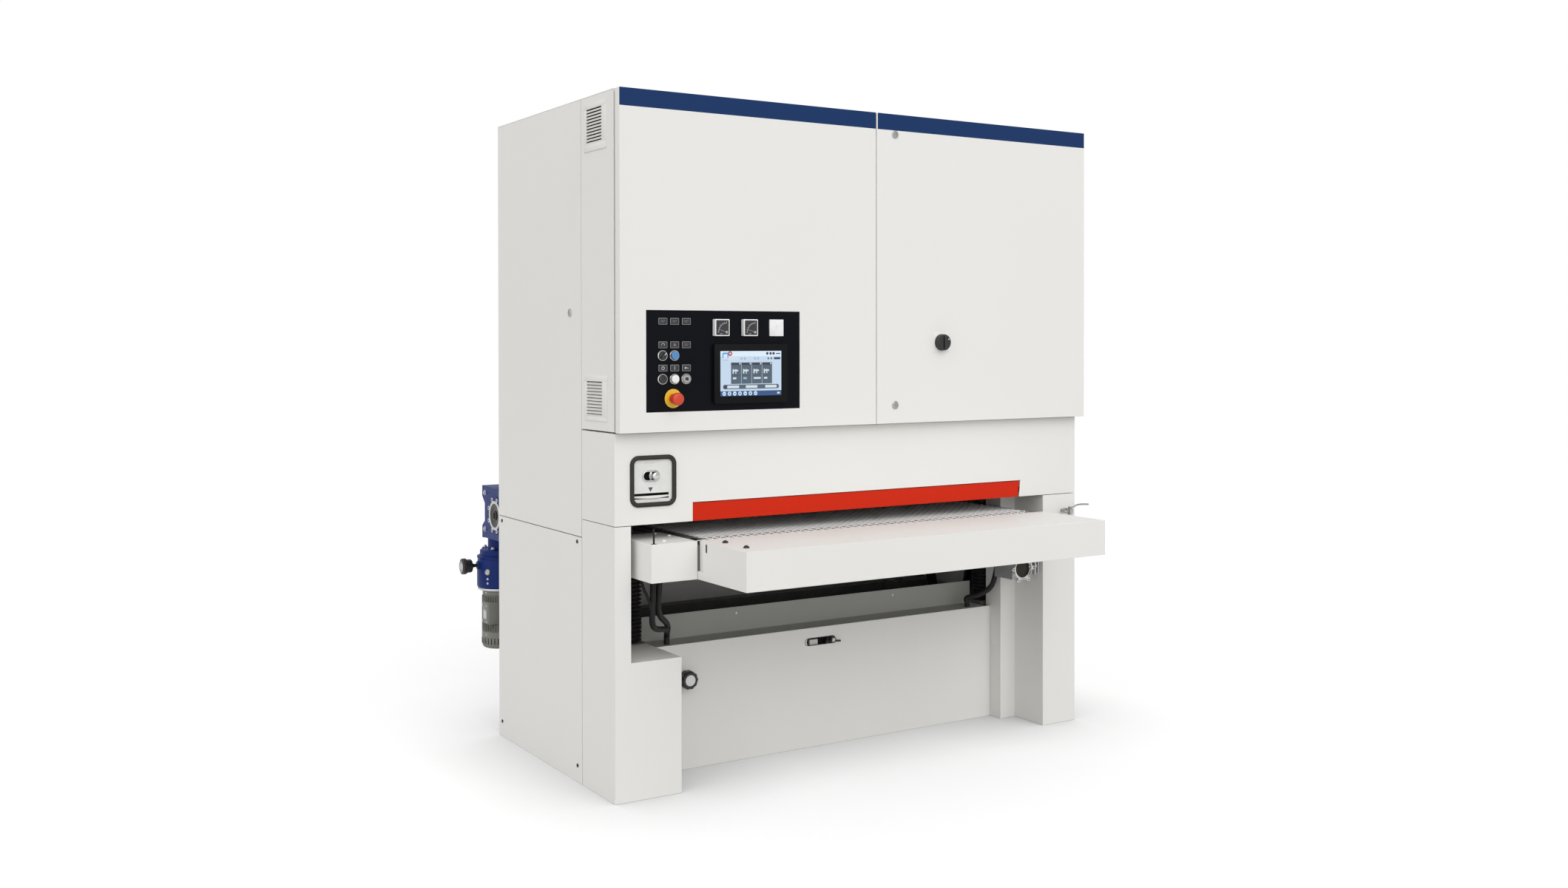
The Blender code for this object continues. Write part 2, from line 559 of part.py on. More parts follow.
def build_main_motor():
    foot = 0.19
    add = [rod_x(MOTOR_LEFT, MOTOR_RIGHT, MOTOR_Y, MOTOR_Z, MOTOR_RADIUS, sides=32),
           block(MOTOR_LEFT + 0.04, MOTOR_RIGHT - 0.04, MOTOR_Y - foot / 2, MOTOR_Y + foot / 2,
                 BASE_HEIGHT + GAP, MOTOR_Z)]
    piece("main_motor", BLUE, (MOTOR_RIGHT, MOTOR_Y, MOTOR_Z), add, metallic=0.1)
    add = [rod_x(MOTOR_RIGHT + GAP, PULLEY_X + PULLEY_WIDTH / 2, MOTOR_Y, MOTOR_Z, DRUM_SHAFT),
           rod_x(PULLEY_X, PULLEY_X + PULLEY_WIDTH, MOTOR_Y, MOTOR_Z, MOTOR_PULLEY, sides=32)]
    piece("motor_pulley", STEEL, (PULLEY_X, MOTOR_Y, MOTOR_Z), add, roughness=0.4, metallic=0.9)
    circles = ((MOTOR_Y, MOTOR_Z, MOTOR_PULLEY), (FRONT_DRUM_Y, DRUM_Z, DRUM_PULLEY),
               (REAR_DRUM_Y, DRUM_Z, DRUM_PULLEY))
    outer = prism_x(loop_outline(circles, GAP + V_BELT_THICKNESS, sides=24), PULLEY_X + 0.004,
                    PULLEY_X + PULLEY_WIDTH - 0.004)
    inner = prism_x(loop_outline(circles, GAP, sides=24), PULLEY_X - 0.01, PULLEY_X + PULLEY_WIDTH + 0.01)
    piece("drive_belt", BLACK, (PULLEY_X, MOTOR_Y, MOTOR_Z), [outer], [inner], roughness=0.8)


def build_table():
    left, right = TABLE_LEFT, TABLE_LEFT + TABLE_WIDTH
    inner_left, inner_right = left + TABLE_PLATE, right - TABLE_PLATE
    back = DRIVE_Y + ROLLER_RADIUS + 0.01
    bed_top = ROLLER_Z + ROLLER_RADIUS
    bed_front, bed_back = IDLE_Y + ROLLER_RADIUS + 0.01, DRIVE_Y - ROLLER_RADIUS - 0.01
    add = [block(inner_left - 0.001, inner_right + 0.001, bed_front, bed_back,
                 bed_top - BED_THICKNESS, bed_top)]
    for low, high in ((left, inner_left), (inner_right, right)):
        add.append(block(low, high, SHELF_BACK + GAP, back, TABLE_BOTTOM, TABLE_PLATE_TOP))
    ribs = 4
    for index in range(ribs):
        y = bed_front + (bed_back - bed_front - TABLE_PLATE) * index / (ribs - 1)
        add.append(block(inner_left - 0.001, inner_right + 0.001, y, y + TABLE_PLATE,
                         bed_top - RIB_HEIGHT, bed_top - BED_THICKNESS / 2))
    nut = LIFT_PAD / 2
    cut = []
    for y in (LIFT_FRONT_Y, LIFT_REAR_Y):
        for x, near, far in ((LIFT_X, LIFT_X - nut, left + 0.001), (WIDTH - LIFT_X, right - 0.001,
                                                                     WIDTH - LIFT_X + nut)):
            add.append(block(near, far, y - nut, y + nut, BRACKET_BOTTOM, BRACKET_TOP))
            cut.append(rod_z(BRACKET_BOTTOM - 0.01, BRACKET_TOP + 0.01, x, y, LIFT_RADIUS + BORE_CLEARANCE,
                             sides=20))
    for y in (IDLE_Y, DRIVE_Y):
        for low in (left, inner_right):
            cut.append(rod_x(low - 0.01, low + TABLE_PLATE + 0.01, y, ROLLER_Z, SHAFT_RADIUS + BORE_CLEARANCE))
    piece("table_frame", (0.42, 0.43, 0.42, 1), (left, IDLE_Y, ROLLER_Z), add, cut, metallic=0.3)

    outer = block(left, right, SHELF_FRONT, SHELF_BACK, SHELF_BOTTOM, SHELF_TOP)
    inner = [block(left + SHEET, right - SHEET, SHELF_FRONT + SHEET, NOTCH_FRONT - SHEET,
                   SHELF_BOTTOM - 0.01, SHELF_TOP - SHEET),
             block(left + NOTCH_DEPTH + SHEET, right - SHEET, NOTCH_FRONT - SHEET - 0.001, SHELF_BACK + 0.02,
                   SHELF_BOTTOM - 0.01, SHELF_TOP - SHEET)]
    slot = block(left - 0.01, left + 0.01, -0.1620, -0.1556, 0.7848, 0.8080)
    notch = block(left - 0.01, left + NOTCH_DEPTH, NOTCH_FRONT, SHELF_BACK + 0.01, NOTCH_BOTTOM, SHELF_TOP + 0.01)
    piece("infeed_shelf", WHITE, (left, SHELF_FRONT, SHELF_TOP), [outer], [*inner, slot, notch])

    outer = block(SIDE_BOX_LEFT, left - GAP, SHELF_BACK, SIDE_BOX_BACK, SHELF_BOTTOM, SIDE_BOX_TOP)
    inner = block(SIDE_BOX_LEFT + SHEET, left - SHEET - GAP, SHELF_BACK + SHEET, SIDE_BOX_BACK + 0.02,
                  SHELF_BOTTOM - 0.01, SIDE_BOX_TOP - SHEET)
    slot = block(0.0800, 0.1010, -0.0980, -0.0760, SIDE_BOX_TOP - 0.01, SIDE_BOX_TOP + 0.01)
    piece("table_side_box", WHITE, (SIDE_BOX_LEFT, SHELF_BACK, SIDE_BOX_TOP), [outer], [inner, slot])

    roller_left, roller_right = inner_left + 0.026, inner_right - 0.026
    add = [rod_x(roller_left, roller_right, IDLE_Y, ROLLER_Z, ROLLER_RADIUS, sides=32),
           rod_x(left + 0.001, right - 0.001, IDLE_Y, ROLLER_Z, SHAFT_RADIUS)]
    piece("idle_roller", STEEL, (roller_left, IDLE_Y, ROLLER_Z), add, roughness=0.35, metallic=0.8)
    add = [rod_x(roller_left, roller_right, DRIVE_Y, ROLLER_Z, ROLLER_RADIUS, sides=32),
           rod_x(GEARBOX_LEFT + 0.03, right + 0.01, DRIVE_Y, ROLLER_Z, SHAFT_RADIUS)]
    piece("drive_roller", STEEL, (roller_left, DRIVE_Y, ROLLER_Z), add, roughness=0.35, metallic=0.8)
    circles = ((IDLE_Y, ROLLER_Z, ROLLER_RADIUS), (DRIVE_Y, ROLLER_Z, ROLLER_RADIUS))
    middle = (left + right) / 2
    belt_left, belt_right = middle - BELT_WIDTH / 2, middle + BELT_WIDTH / 2
    outer = prism_x(loop_outline(circles, GAP + BELT_THICKNESS), belt_left, belt_right)
    inner = prism_x(loop_outline(circles, GAP), belt_left - 0.01, belt_right + 0.01)
    piece("feed_belt", (0.62, 0.62, 0.60, 1), (belt_left, IDLE_Y, ROLLER_Z), [outer], [inner], roughness=0.8)


def build_feed_drive():
    cut = [rod_x(GEARBOX_LEFT - 0.01, TABLE_LEFT, DRIVE_Y, ROLLER_Z, SHAFT_RADIUS + BORE_CLEARANCE),
           rod_x(GEARBOX_LEFT - 0.01, GEARBOX_LEFT + 0.012, DRIVE_Y, ROLLER_Z, GEARBOX_HUB - 0.030)]
    middle_left, middle_right = GEARBOX_LEFT + 0.008, GEARBOX_RIGHT - 0.008
    add = [rod_x(GEARBOX_LEFT, GEARBOX_RIGHT, DRIVE_Y, ROLLER_Z, GEARBOX_HUB, sides=32),
           rod_x(GEARBOX_LEFT + 0.012, TABLE_LEFT - GAP, DRIVE_Y, ROLLER_Z, SHAFT_RADIUS + 0.015),
           block(middle_left, middle_right, DRIVE_Y - 0.090, WORM_BOX_BACK - 0.012,
                 WORM_BOX_BOTTOM + 0.012, WORM_BOX_TOP - 0.012),
           block(GEARBOX_LEFT + 0.002, GEARBOX_RIGHT - 0.002, WORM_BOX_BACK - 0.060, WORM_BOX_BACK,
                 WORM_BOX_TOP - 0.042, WORM_BOX_TOP),
           block(GEARBOX_LEFT + 0.002, GEARBOX_RIGHT - 0.002, WORM_BOX_BACK - 0.060, WORM_BOX_BACK,
                 WORM_BOX_BOTTOM, WORM_BOX_BOTTOM + 0.045),
           rod_z(VARIATOR_TOP + GAP + 0.012, WORM_BOX_BOTTOM + 0.02, WORM_X, WORM_Y, 0.042),
           rod_z(VARIATOR_TOP + GAP, VARIATOR_TOP + 0.022, WORM_X, WORM_Y, 0.074)]
    piece("worm_gearbox", BLUE, (GEARBOX_LEFT, DRIVE_Y, ROLLER_Z), add, cut)
    spindle = WORM_X - VARIATOR_RADIUS
    add = [rod_z(VARIATOR_BOTTOM, VARIATOR_TOP, WORM_X, WORM_Y, VARIATOR_RADIUS, sides=32),
           rod_x(spindle - 0.006, spindle + 0.03, WORM_Y, HANDWHEEL_Z, 0.016),
           rod_z(MOTOR_CASE_BOTTOM, VARIATOR_BOTTOM + 0.01, WORM_X, WORM_Y, MOTOR_CASE_RADIUS, sides=32),
           rod_z(VARIATOR_BOTTOM - 0.010, VARIATOR_BOTTOM + 0.005, WORM_X, WORM_Y, VARIATOR_RADIUS - 0.004,
                 sides=32)]
    piece("feed_motor", BLUE, (WORM_X, WORM_Y, VARIATOR_TOP), add)
    wheel_left = spindle - 0.070
    add = [rod_x(wheel_left, wheel_left + 0.045, WORM_Y, HANDWHEEL_Z, 0.0270),
           rod_x(wheel_left + 0.04, spindle - 0.006 - GAP, WORM_Y, HANDWHEEL_Z, 0.0080, sides=16)]
    piece("variator_handwheel", BLACK, (spindle, WORM_Y, HANDWHEEL_Z), add, roughness=0.4)

    face, x, z = 0.0200, 1.6810, 0.5916
    add = [rod_y(face, face + 0.030, x, z, 0.0440),
           block(x - 0.042, TABLE_LEFT + TABLE_WIDTH - 0.001, face + 0.010, face + 0.110, z - 0.040, TABLE_BOTTOM - GAP)]
    piece("lift_gearbox", (0.45, 0.45, 0.44, 1), (x, face, z), add,
          [rod_y(face - 0.01, face + 0.012, x, z, 0.0340)], metallic=0.4)


def build_bellows_and_hoses():
    folds = BELLOWS_FOLDS
    bottom, top = LIFT_PAD_TOP + GAP, BRACKET_BOTTOM - GAP
    pitch = (top - bottom) / folds
    profile = [(BELLOWS_BORE, bottom), (BELLOWS_BORE, top)]
    for fold in range(folds):
        high = top - fold * pitch
        profile += [(BELLOWS_RADIUS - 0.010, high), (BELLOWS_RADIUS, high - pitch / 2)]
    profile.append((BELLOWS_RADIUS - 0.010, bottom))
    for name, x in (("left_bellows", LIFT_X), ("right_bellows", WIDTH - LIFT_X)):
        turned = turned_shape(profile, x, LIFT_FRONT_Y)
        piece(name, BLACK, (x, LIFT_FRONT_Y, bottom), [turned], roughness=0.7)
    top, foot = SIDE_BOX_TOP - SHEET - 2 * GAP, PANEL_TOP + 3 * GAP
    main = [(0.158, 0.050, top), (0.158, 0.050, 0.690), (0.158, 0.050, 0.620), (0.155, 0.056, 0.545),
            (0.166, 0.076, 0.512), (0.205, 0.120, 0.505), (0.250, 0.165, 0.492), (0.290, 0.212, 0.476),
            (0.307, 0.244, 0.456), (0.307, 0.244, 0.438), (0.307, 0.244, foot)]
    branch = [(0.184, 0.056, top), (0.184, 0.056, 0.690), (0.182, 0.057, 0.620), (0.180, 0.070, 0.568),
              (0.214, 0.112, 0.545), (0.262, 0.160, 0.515), (0.298, 0.218, 0.484), (0.307, 0.244, 0.458),
              (0.307, 0.244, 0.438), (0.307, 0.244, foot)]
    tube("left_hoses", BLACK, main, HOSE_RADIUS, [branch])
    top = TABLE_BOTTOM - 2 * GAP
    right = [(1.678, 0.150, top), (1.678, 0.150, 0.650), (1.672, 0.156, 0.585), (1.660, 0.172, 0.510),
             (1.630, 0.205, 0.474), (1.602, 0.248, 0.456), (1.602, 0.248, 0.438), (1.602, 0.248, foot)]
    tube("right_hose", BLACK, right, HOSE_RADIUS)


def turned_shape(profile, x, y):
    """A closed (radius, z) profile turned round the vertical line at x, y."""
    sides = 16

    def make(bm):
        rings = []
        for step in range(sides):
            angle = 2 * math.pi * step / sides
            rings.append([bm.verts.new((x + r * math.cos(angle), y + r * math.sin(angle), z))
                          for r, z in profile])
        for ring, following in zip(rings, rings[1:] + rings[:1]):
            for index, corner in enumerate(ring):
                after = (index + 1) % len(ring)
                bm.faces.new((corner, following[index], following[after], ring[after]))
        bmesh.ops.recalc_face_normals(bm, faces=bm.faces[:])

    return shape(make)


def build_doors():
    left_edge, right_edge = 0.0, WIDTH + DOOR_OVERHANG
    outer, inner = pan(left_edge, DOOR_SPLIT - SEAM / 2, DOOR_FRONT, DOOR_BACK, DOOR_BOTTOM, DOOR_TOP, "+y")
    opening = block(PANEL_LEFT, PANEL_RIGHT, DOOR_FRONT - 0.01, DOOR_BACK + 0.01, PANEL_LOW, PANEL_HIGH)
    piece("left_front_door", WHITE, (left_edge + PIVOT_INSET, PIVOT_Y, DOOR_BOTTOM), [outer],
          [inner, opening], after=door_seal(left_edge, DOOR_SPLIT))
    outer, inner = pan(DOOR_SPLIT + SEAM / 2, right_edge, DOOR_FRONT, DOOR_BACK, DOOR_BOTTOM, DOOR_TOP, "+y")
    holes = [rod_y(DOOR_FRONT - 0.01, DOOR_BACK, DOOR_LOCK_X, z, LOCK_RADIUS + BORE_CLEARANCE, sides=16)
             for z in DOOR_LOCK_HEIGHTS]
    holes.append(rod_y(DOOR_FRONT - 0.01, DOOR_BACK, SWITCH_X, SWITCH_Z, SWITCH_STEM + BORE_CLEARANCE, sides=16))
    piece("right_front_door", WHITE, (right_edge - PIVOT_INSET, PIVOT_Y, DOOR_BOTTOM), [outer],
          [inner, *holes], after=door_seal(DOOR_SPLIT, right_edge))
    front, back = COVER_DEPTH + SEAM, DEPTH - 0.0015
    outer, inner = pan(0, PAN_DEPTH, front, back, SIDE_DOOR_BOTTOM, HEIGHT - 0.002, "+x")
    hole = rod_x(-0.01, 0.02, SIDE_LOCK_Y, SIDE_LOCK_Z, LOCK_RADIUS + BORE_CLEARANCE, sides=16)
    piece("side_door", WHITE, (SIDE_PIVOT_X, back - SIDE_PIVOT_X, SIDE_DOOR_BOTTOM), [outer], [inner, hole])
    for name, z in zip(("upper_door_lock", "lower_door_lock"), DOOR_LOCK_HEIGHTS):
        add = [rod_y(DOOR_FRONT - LOCK_PROUD, DOOR_FRONT + 0.012, DOOR_LOCK_X, z, LOCK_RADIUS, sides=16),
               block(DOOR_LOCK_X - 0.006, DOOR_LOCK_X + 0.006, DOOR_FRONT + 0.010, DOOR_FRONT + 0.014,
                     z - 0.020, z + 0.006)]
        piece(name, STEEL, (DOOR_LOCK_X, DOOR_FRONT, z), add, roughness=0.3, metallic=0.9)
    add = [rod_x(-LOCK_PROUD, 0.012, SIDE_LOCK_Y, SIDE_LOCK_Z, LOCK_RADIUS, sides=16),
           block(0.010, 0.014, SIDE_LOCK_Y - 0.006, SIDE_LOCK_Y + 0.006, SIDE_LOCK_Z - 0.020,
                 SIDE_LOCK_Z + 0.006)]
    piece("side_door_lock", STEEL, (0, SIDE_LOCK_Y, SIDE_LOCK_Z), add, roughness=0.3, metallic=0.9)
    add = [rod_y(DOOR_FRONT - 0.032, DOOR_FRONT - GAP, SWITCH_X, SWITCH_Z, SWITCH_RADIUS, sides=32),
           rod_y(DOOR_FRONT - 0.010, DOOR_FRONT + 0.020, SWITCH_X, SWITCH_Z, SWITCH_STEM, sides=16)]
    piece("main_switch_knob", BLACK, (SWITCH_X, DOOR_FRONT, SWITCH_Z), add, roughness=0.35)


def door_seal(left, right):
    """The strips on a door's inner edge that close it against the cabinet's front returns."""
    inset, width = 0.018, 0.008
    low, high = DOOR_BOTTOM + inset, DOOR_TOP - inset
    front, back = DOOR_FRONT + SHEET / 2, CABINET_FRONT - GAP
    left, right = left + inset, right - inset
    return [block(left, left + width, front, back, low, high),
            block(right - width, right, front, back, low, high),
            block(left, right, front, back, low, low + width),
            block(left, right, front, back, high - width, high)]


def build_control_panel():
    lip = PANEL_LIP
    face, back = PANEL_FACE, PANEL_FACE + PANEL_THICKNESS
    add = [block(PANEL_LEFT - lip, PANEL_RIGHT + lip, face, back, PANEL_LOW - lip, PANEL_HIGH + lip)]
    buttons = control_places()
    cut = [rod_y(face - 0.01, back + 0.01, x, z, BUTTON_STEM + BORE_CLEARANCE, sides=16)
           for _, x, z, _ in buttons]
    cut.append(rod_y(face - 0.01, back + 0.01, STOP_X, STOP_Z, BUTTON_STEM + BORE_CLEARANCE, sides=16))
    piece("control_panel", BLACK, (PANEL_LEFT, face, PANEL_LOW), add, cut, roughness=0.25)
    piece("touch_screen", BLACK, (0.3280, face, 1.2380),
          [block(0.3280, 0.6030, DOOR_FRONT - 0.0110, face - GAP, 1.2380, 1.4290)], roughness=0.2)
    for name, x, z, colour in buttons:
        proud = KNOB_PROUD if name in ("selector_knob", "key_switch") else BUTTON_PROUD
        lift = BUTTON_TRAVEL if proud == BUTTON_PROUD else GAP
        add = [rod_y(face - lift - proud, face - lift, x, z, BUTTON_RADIUS - 0.002, sides=24),
               rod_y(face - lift - 0.001, face + BUTTON_DEPTH, x, z, BUTTON_STEM, sides=16)]
        piece(name, colour, (x, face, z), add, roughness=0.3)
    add = [rod_y(face - STOP_PROUD, face - STOP_PROUD + 0.016, STOP_X, STOP_Z, STOP_RADIUS),
           rod_y(face - STOP_PROUD + 0.010, face + BUTTON_DEPTH, STOP_X, STOP_Z, BUTTON_STEM, sides=16)]
    piece("stop_button", (0.62, 0.03, 0.02, 1), (STOP_X, face, STOP_Z), add, roughness=0.4)


def control_places():
    (first, second, third), (upper, lower) = BUTTON_COLUMNS, BUTTON_ROWS
    return (("selector_knob", first, upper, BLACK), ("blue_button", second, upper, (0.1, 0.3, 0.6, 1)),
            ("black_button", first, lower, BLACK), ("white_button", second, lower, (0.8, 0.8, 0.8, 1)),
            ("key_switch", third, lower, STEEL))


def build_hood_fittings():
    front, back = SHEET + GAP, SHEET + GAP + 0.003
    margin = 0.011
    plate = block(WINDOW_LEFT - margin, WINDOW_RIGHT + margin, front, back, WINDOW_LOW - margin,
                  WINDOW_HIGH + margin)
    oval_left, oval_right, oval_z, oval = 0.1010, 0.1545, 1.0145, 0.0140
    cut = [block(oval_left + oval, oval_right - oval, -0.01, back + 0.01, oval_z - oval, oval_z + oval),
           rod_y(-0.01, back + 0.01, oval_left + oval, oval_z, oval, sides=20),
           rod_y(-0.01, back + 0.01, oval_right - oval, oval_z, oval, sides=20),
           block(0.0657, 0.1900, -0.01, back + 0.01, 0.9430, 0.9608)]
    piece("gauge_plate", (0.72, 0.72, 0.70, 1), (WINDOW_LEFT, front, WINDOW_LOW), [plate], cut, metallic=0.3)
    x = oval_right - oval
    add = [rod_y(-0.008, back + 0.012, x, oval_z, oval - 0.0008, sides=20),
           rod_y(back + GAP, back + 0.006, x, oval_z, oval + 0.004, sides=20)]
    piece("gauge_slider", STEEL, (x, front, oval_z), add, roughness=0.25, metallic=0.9)
    clear = 0.0020
    right_top, right_low = BAR_RIGHT_TOP + 0.004 - clear, BAR_RIGHT_BOTTOM + 0.004 - clear
    bottom = HOOD_BOTTOM
    add = [prism_y([(BAR_LEFT + clear, bottom), (right_low, bottom), (right_top, BAR_TOP - clear),
                    (BAR_LEFT + clear, BAR_TOP - clear)], SHEET + 0.002, SHEET + 0.004),
           block(BAR_LEFT + clear, right_low, SHEET + 0.002, BAR_PIVOT_Y, BAR_PIVOT_Z - 0.002, BAR_PIVOT_Z),
           rod_x(BAR_LEFT + GAP, BAR_RIGHT_TOP + 0.004 - GAP, BAR_PIVOT_Y, BAR_PIVOT_Z, BAR_PIVOT_RADIUS, sides=16)]
    piece("safety_bar", (0.62, 0.03, 0.015, 1), (BAR_LEFT, BAR_PIVOT_Y, BAR_PIVOT_Z), add, roughness=0.4)


def build_front_controls():
    face = PANEL_Y - GAP
    add = [rod_y(face - 0.056, face - 0.018, FRONT_WHEEL_X, FRONT_WHEEL_Z, FRONT_WHEEL_RADIUS),
           rod_y(face - 0.020, face, FRONT_WHEEL_X, FRONT_WHEEL_Z, 0.012, sides=16)]
    piece("front_handwheel", BLACK, (FRONT_WHEEL_X, PANEL_Y, FRONT_WHEEL_Z), add, roughness=0.4)
    x = SLOT_RIGHT - SLOT_HEIGHT / 2 - 0.003
    stem = 0.0085
    add = [rod_y(PANEL_Y - 0.014, PANEL_Y + 0.024, x, SLOT_Z, stem, sides=16),
           rod_y(PANEL_Y + SHEET + GAP, PANEL_Y + SHEET + 0.006, x, SLOT_Z, 0.020),
           block(x, x + 0.032, PANEL_Y - 0.014, PANEL_Y - 0.008, SLOT_Z - 0.008, SLOT_Z - 0.001)]
    piece("slot_lever", BLACK, (x, PANEL_Y, SLOT_Z), add, roughness=0.4)
    add = [rod_y(VALVE_Y, -GAP, VALVE_X, VALVE_Z, 0.008, sides=16),
           rod_z(VALVE_Z - 0.012, VALVE_Z + 0.012, VALVE_X, VALVE_Y, 0.012, sides=16),
           rod_x(VALVE_X - 0.020, VALVE_X + 0.005, VALVE_Y, VALVE_Z, 0.008, sides=16)]
    piece("air_valve", STEEL, (VALVE_X, VALVE_Y, VALVE_Z), add, roughness=0.25, metallic=0.9)
    low = VALVE_Z + 0.012 + GAP
    add = [rod_z(low, low + 0.006, VALVE_X, VALVE_Y, 0.009, sides=16),
           block(VALVE_X, VALVE_LEVER_END, VALVE_Y - 0.005, VALVE_Y + 0.005, low + 0.001, low + 0.004)]
    piece("air_valve_lever", STEEL, (VALVE_X, VALVE_Y, VALVE_Z), add, roughness=0.25, metallic=0.9)


build_main_frame()
build_covers()
build_side_and_rear_panels()
build_hood_and_cabinet()
build_sanding_head()
build_main_motor()
build_table()
build_feed_drive()
build_bellows_and_hoses()
build_doors()
build_control_panel()
build_hood_fittings()
build_front_controls()
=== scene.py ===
"""Paint, rubber, glass and small fittings of a wide-belt sander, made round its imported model."""

import json
import math

import bmesh
import bpy
from bpy.props import FloatProperty, FloatVectorProperty, IntProperty, PointerProperty
from mathutils import Euler, Matrix, Quaternion, Vector


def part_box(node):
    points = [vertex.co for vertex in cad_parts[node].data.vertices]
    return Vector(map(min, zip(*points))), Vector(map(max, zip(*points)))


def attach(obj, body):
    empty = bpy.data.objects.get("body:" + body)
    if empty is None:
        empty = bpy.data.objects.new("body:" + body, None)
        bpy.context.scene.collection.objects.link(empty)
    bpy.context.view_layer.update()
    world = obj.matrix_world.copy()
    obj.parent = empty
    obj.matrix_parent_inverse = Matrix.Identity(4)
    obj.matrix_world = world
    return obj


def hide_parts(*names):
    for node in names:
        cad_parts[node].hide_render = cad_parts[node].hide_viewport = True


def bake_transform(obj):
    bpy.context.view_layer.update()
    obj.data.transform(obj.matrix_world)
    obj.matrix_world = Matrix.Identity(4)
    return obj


bl_info = {
    "name": "Wide-belt sander looks",
    "version": (1, 0, 0),
    "blender": (4, 5, 0),
    "location": "3D View > Sidebar > Sander",
    "description": "Adds the finishes and fittings of a wide-belt sander to its packed model",
    "category": "Object",
}

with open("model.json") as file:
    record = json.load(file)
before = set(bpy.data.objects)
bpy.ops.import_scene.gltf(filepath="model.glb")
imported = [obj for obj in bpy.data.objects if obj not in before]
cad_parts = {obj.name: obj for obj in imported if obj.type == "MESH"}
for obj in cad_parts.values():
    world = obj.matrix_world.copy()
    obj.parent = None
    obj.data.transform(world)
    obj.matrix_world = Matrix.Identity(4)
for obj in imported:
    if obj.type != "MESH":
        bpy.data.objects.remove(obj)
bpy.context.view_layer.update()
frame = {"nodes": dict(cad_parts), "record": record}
CORNER = Vector((*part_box("left_front_cover")[0].xy, 0))
FRONT = Vector((0, -1, 0))
LEFT = Vector((-1, 0, 0))
RIGHT = Vector((1, 0, 0))
UP = Vector((0, 0, 1))
BODY_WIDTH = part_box("hood_panel")[1].x - CORNER.x
DOOR_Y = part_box("left_front_door")[0].y - CORNER.y
PANEL_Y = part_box("control_panel")[0].y - CORNER.y
BACK_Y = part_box("rear_upper_panel")[1].y - CORNER.y
COVER_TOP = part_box("top_cover")[1].z
CREASE = 32.0  # degrees


def at(x, y, z):
    """A place measured from the machine's front left corner on the floor."""
    return CORNER + Vector((x, y, z))


# Mesh making.

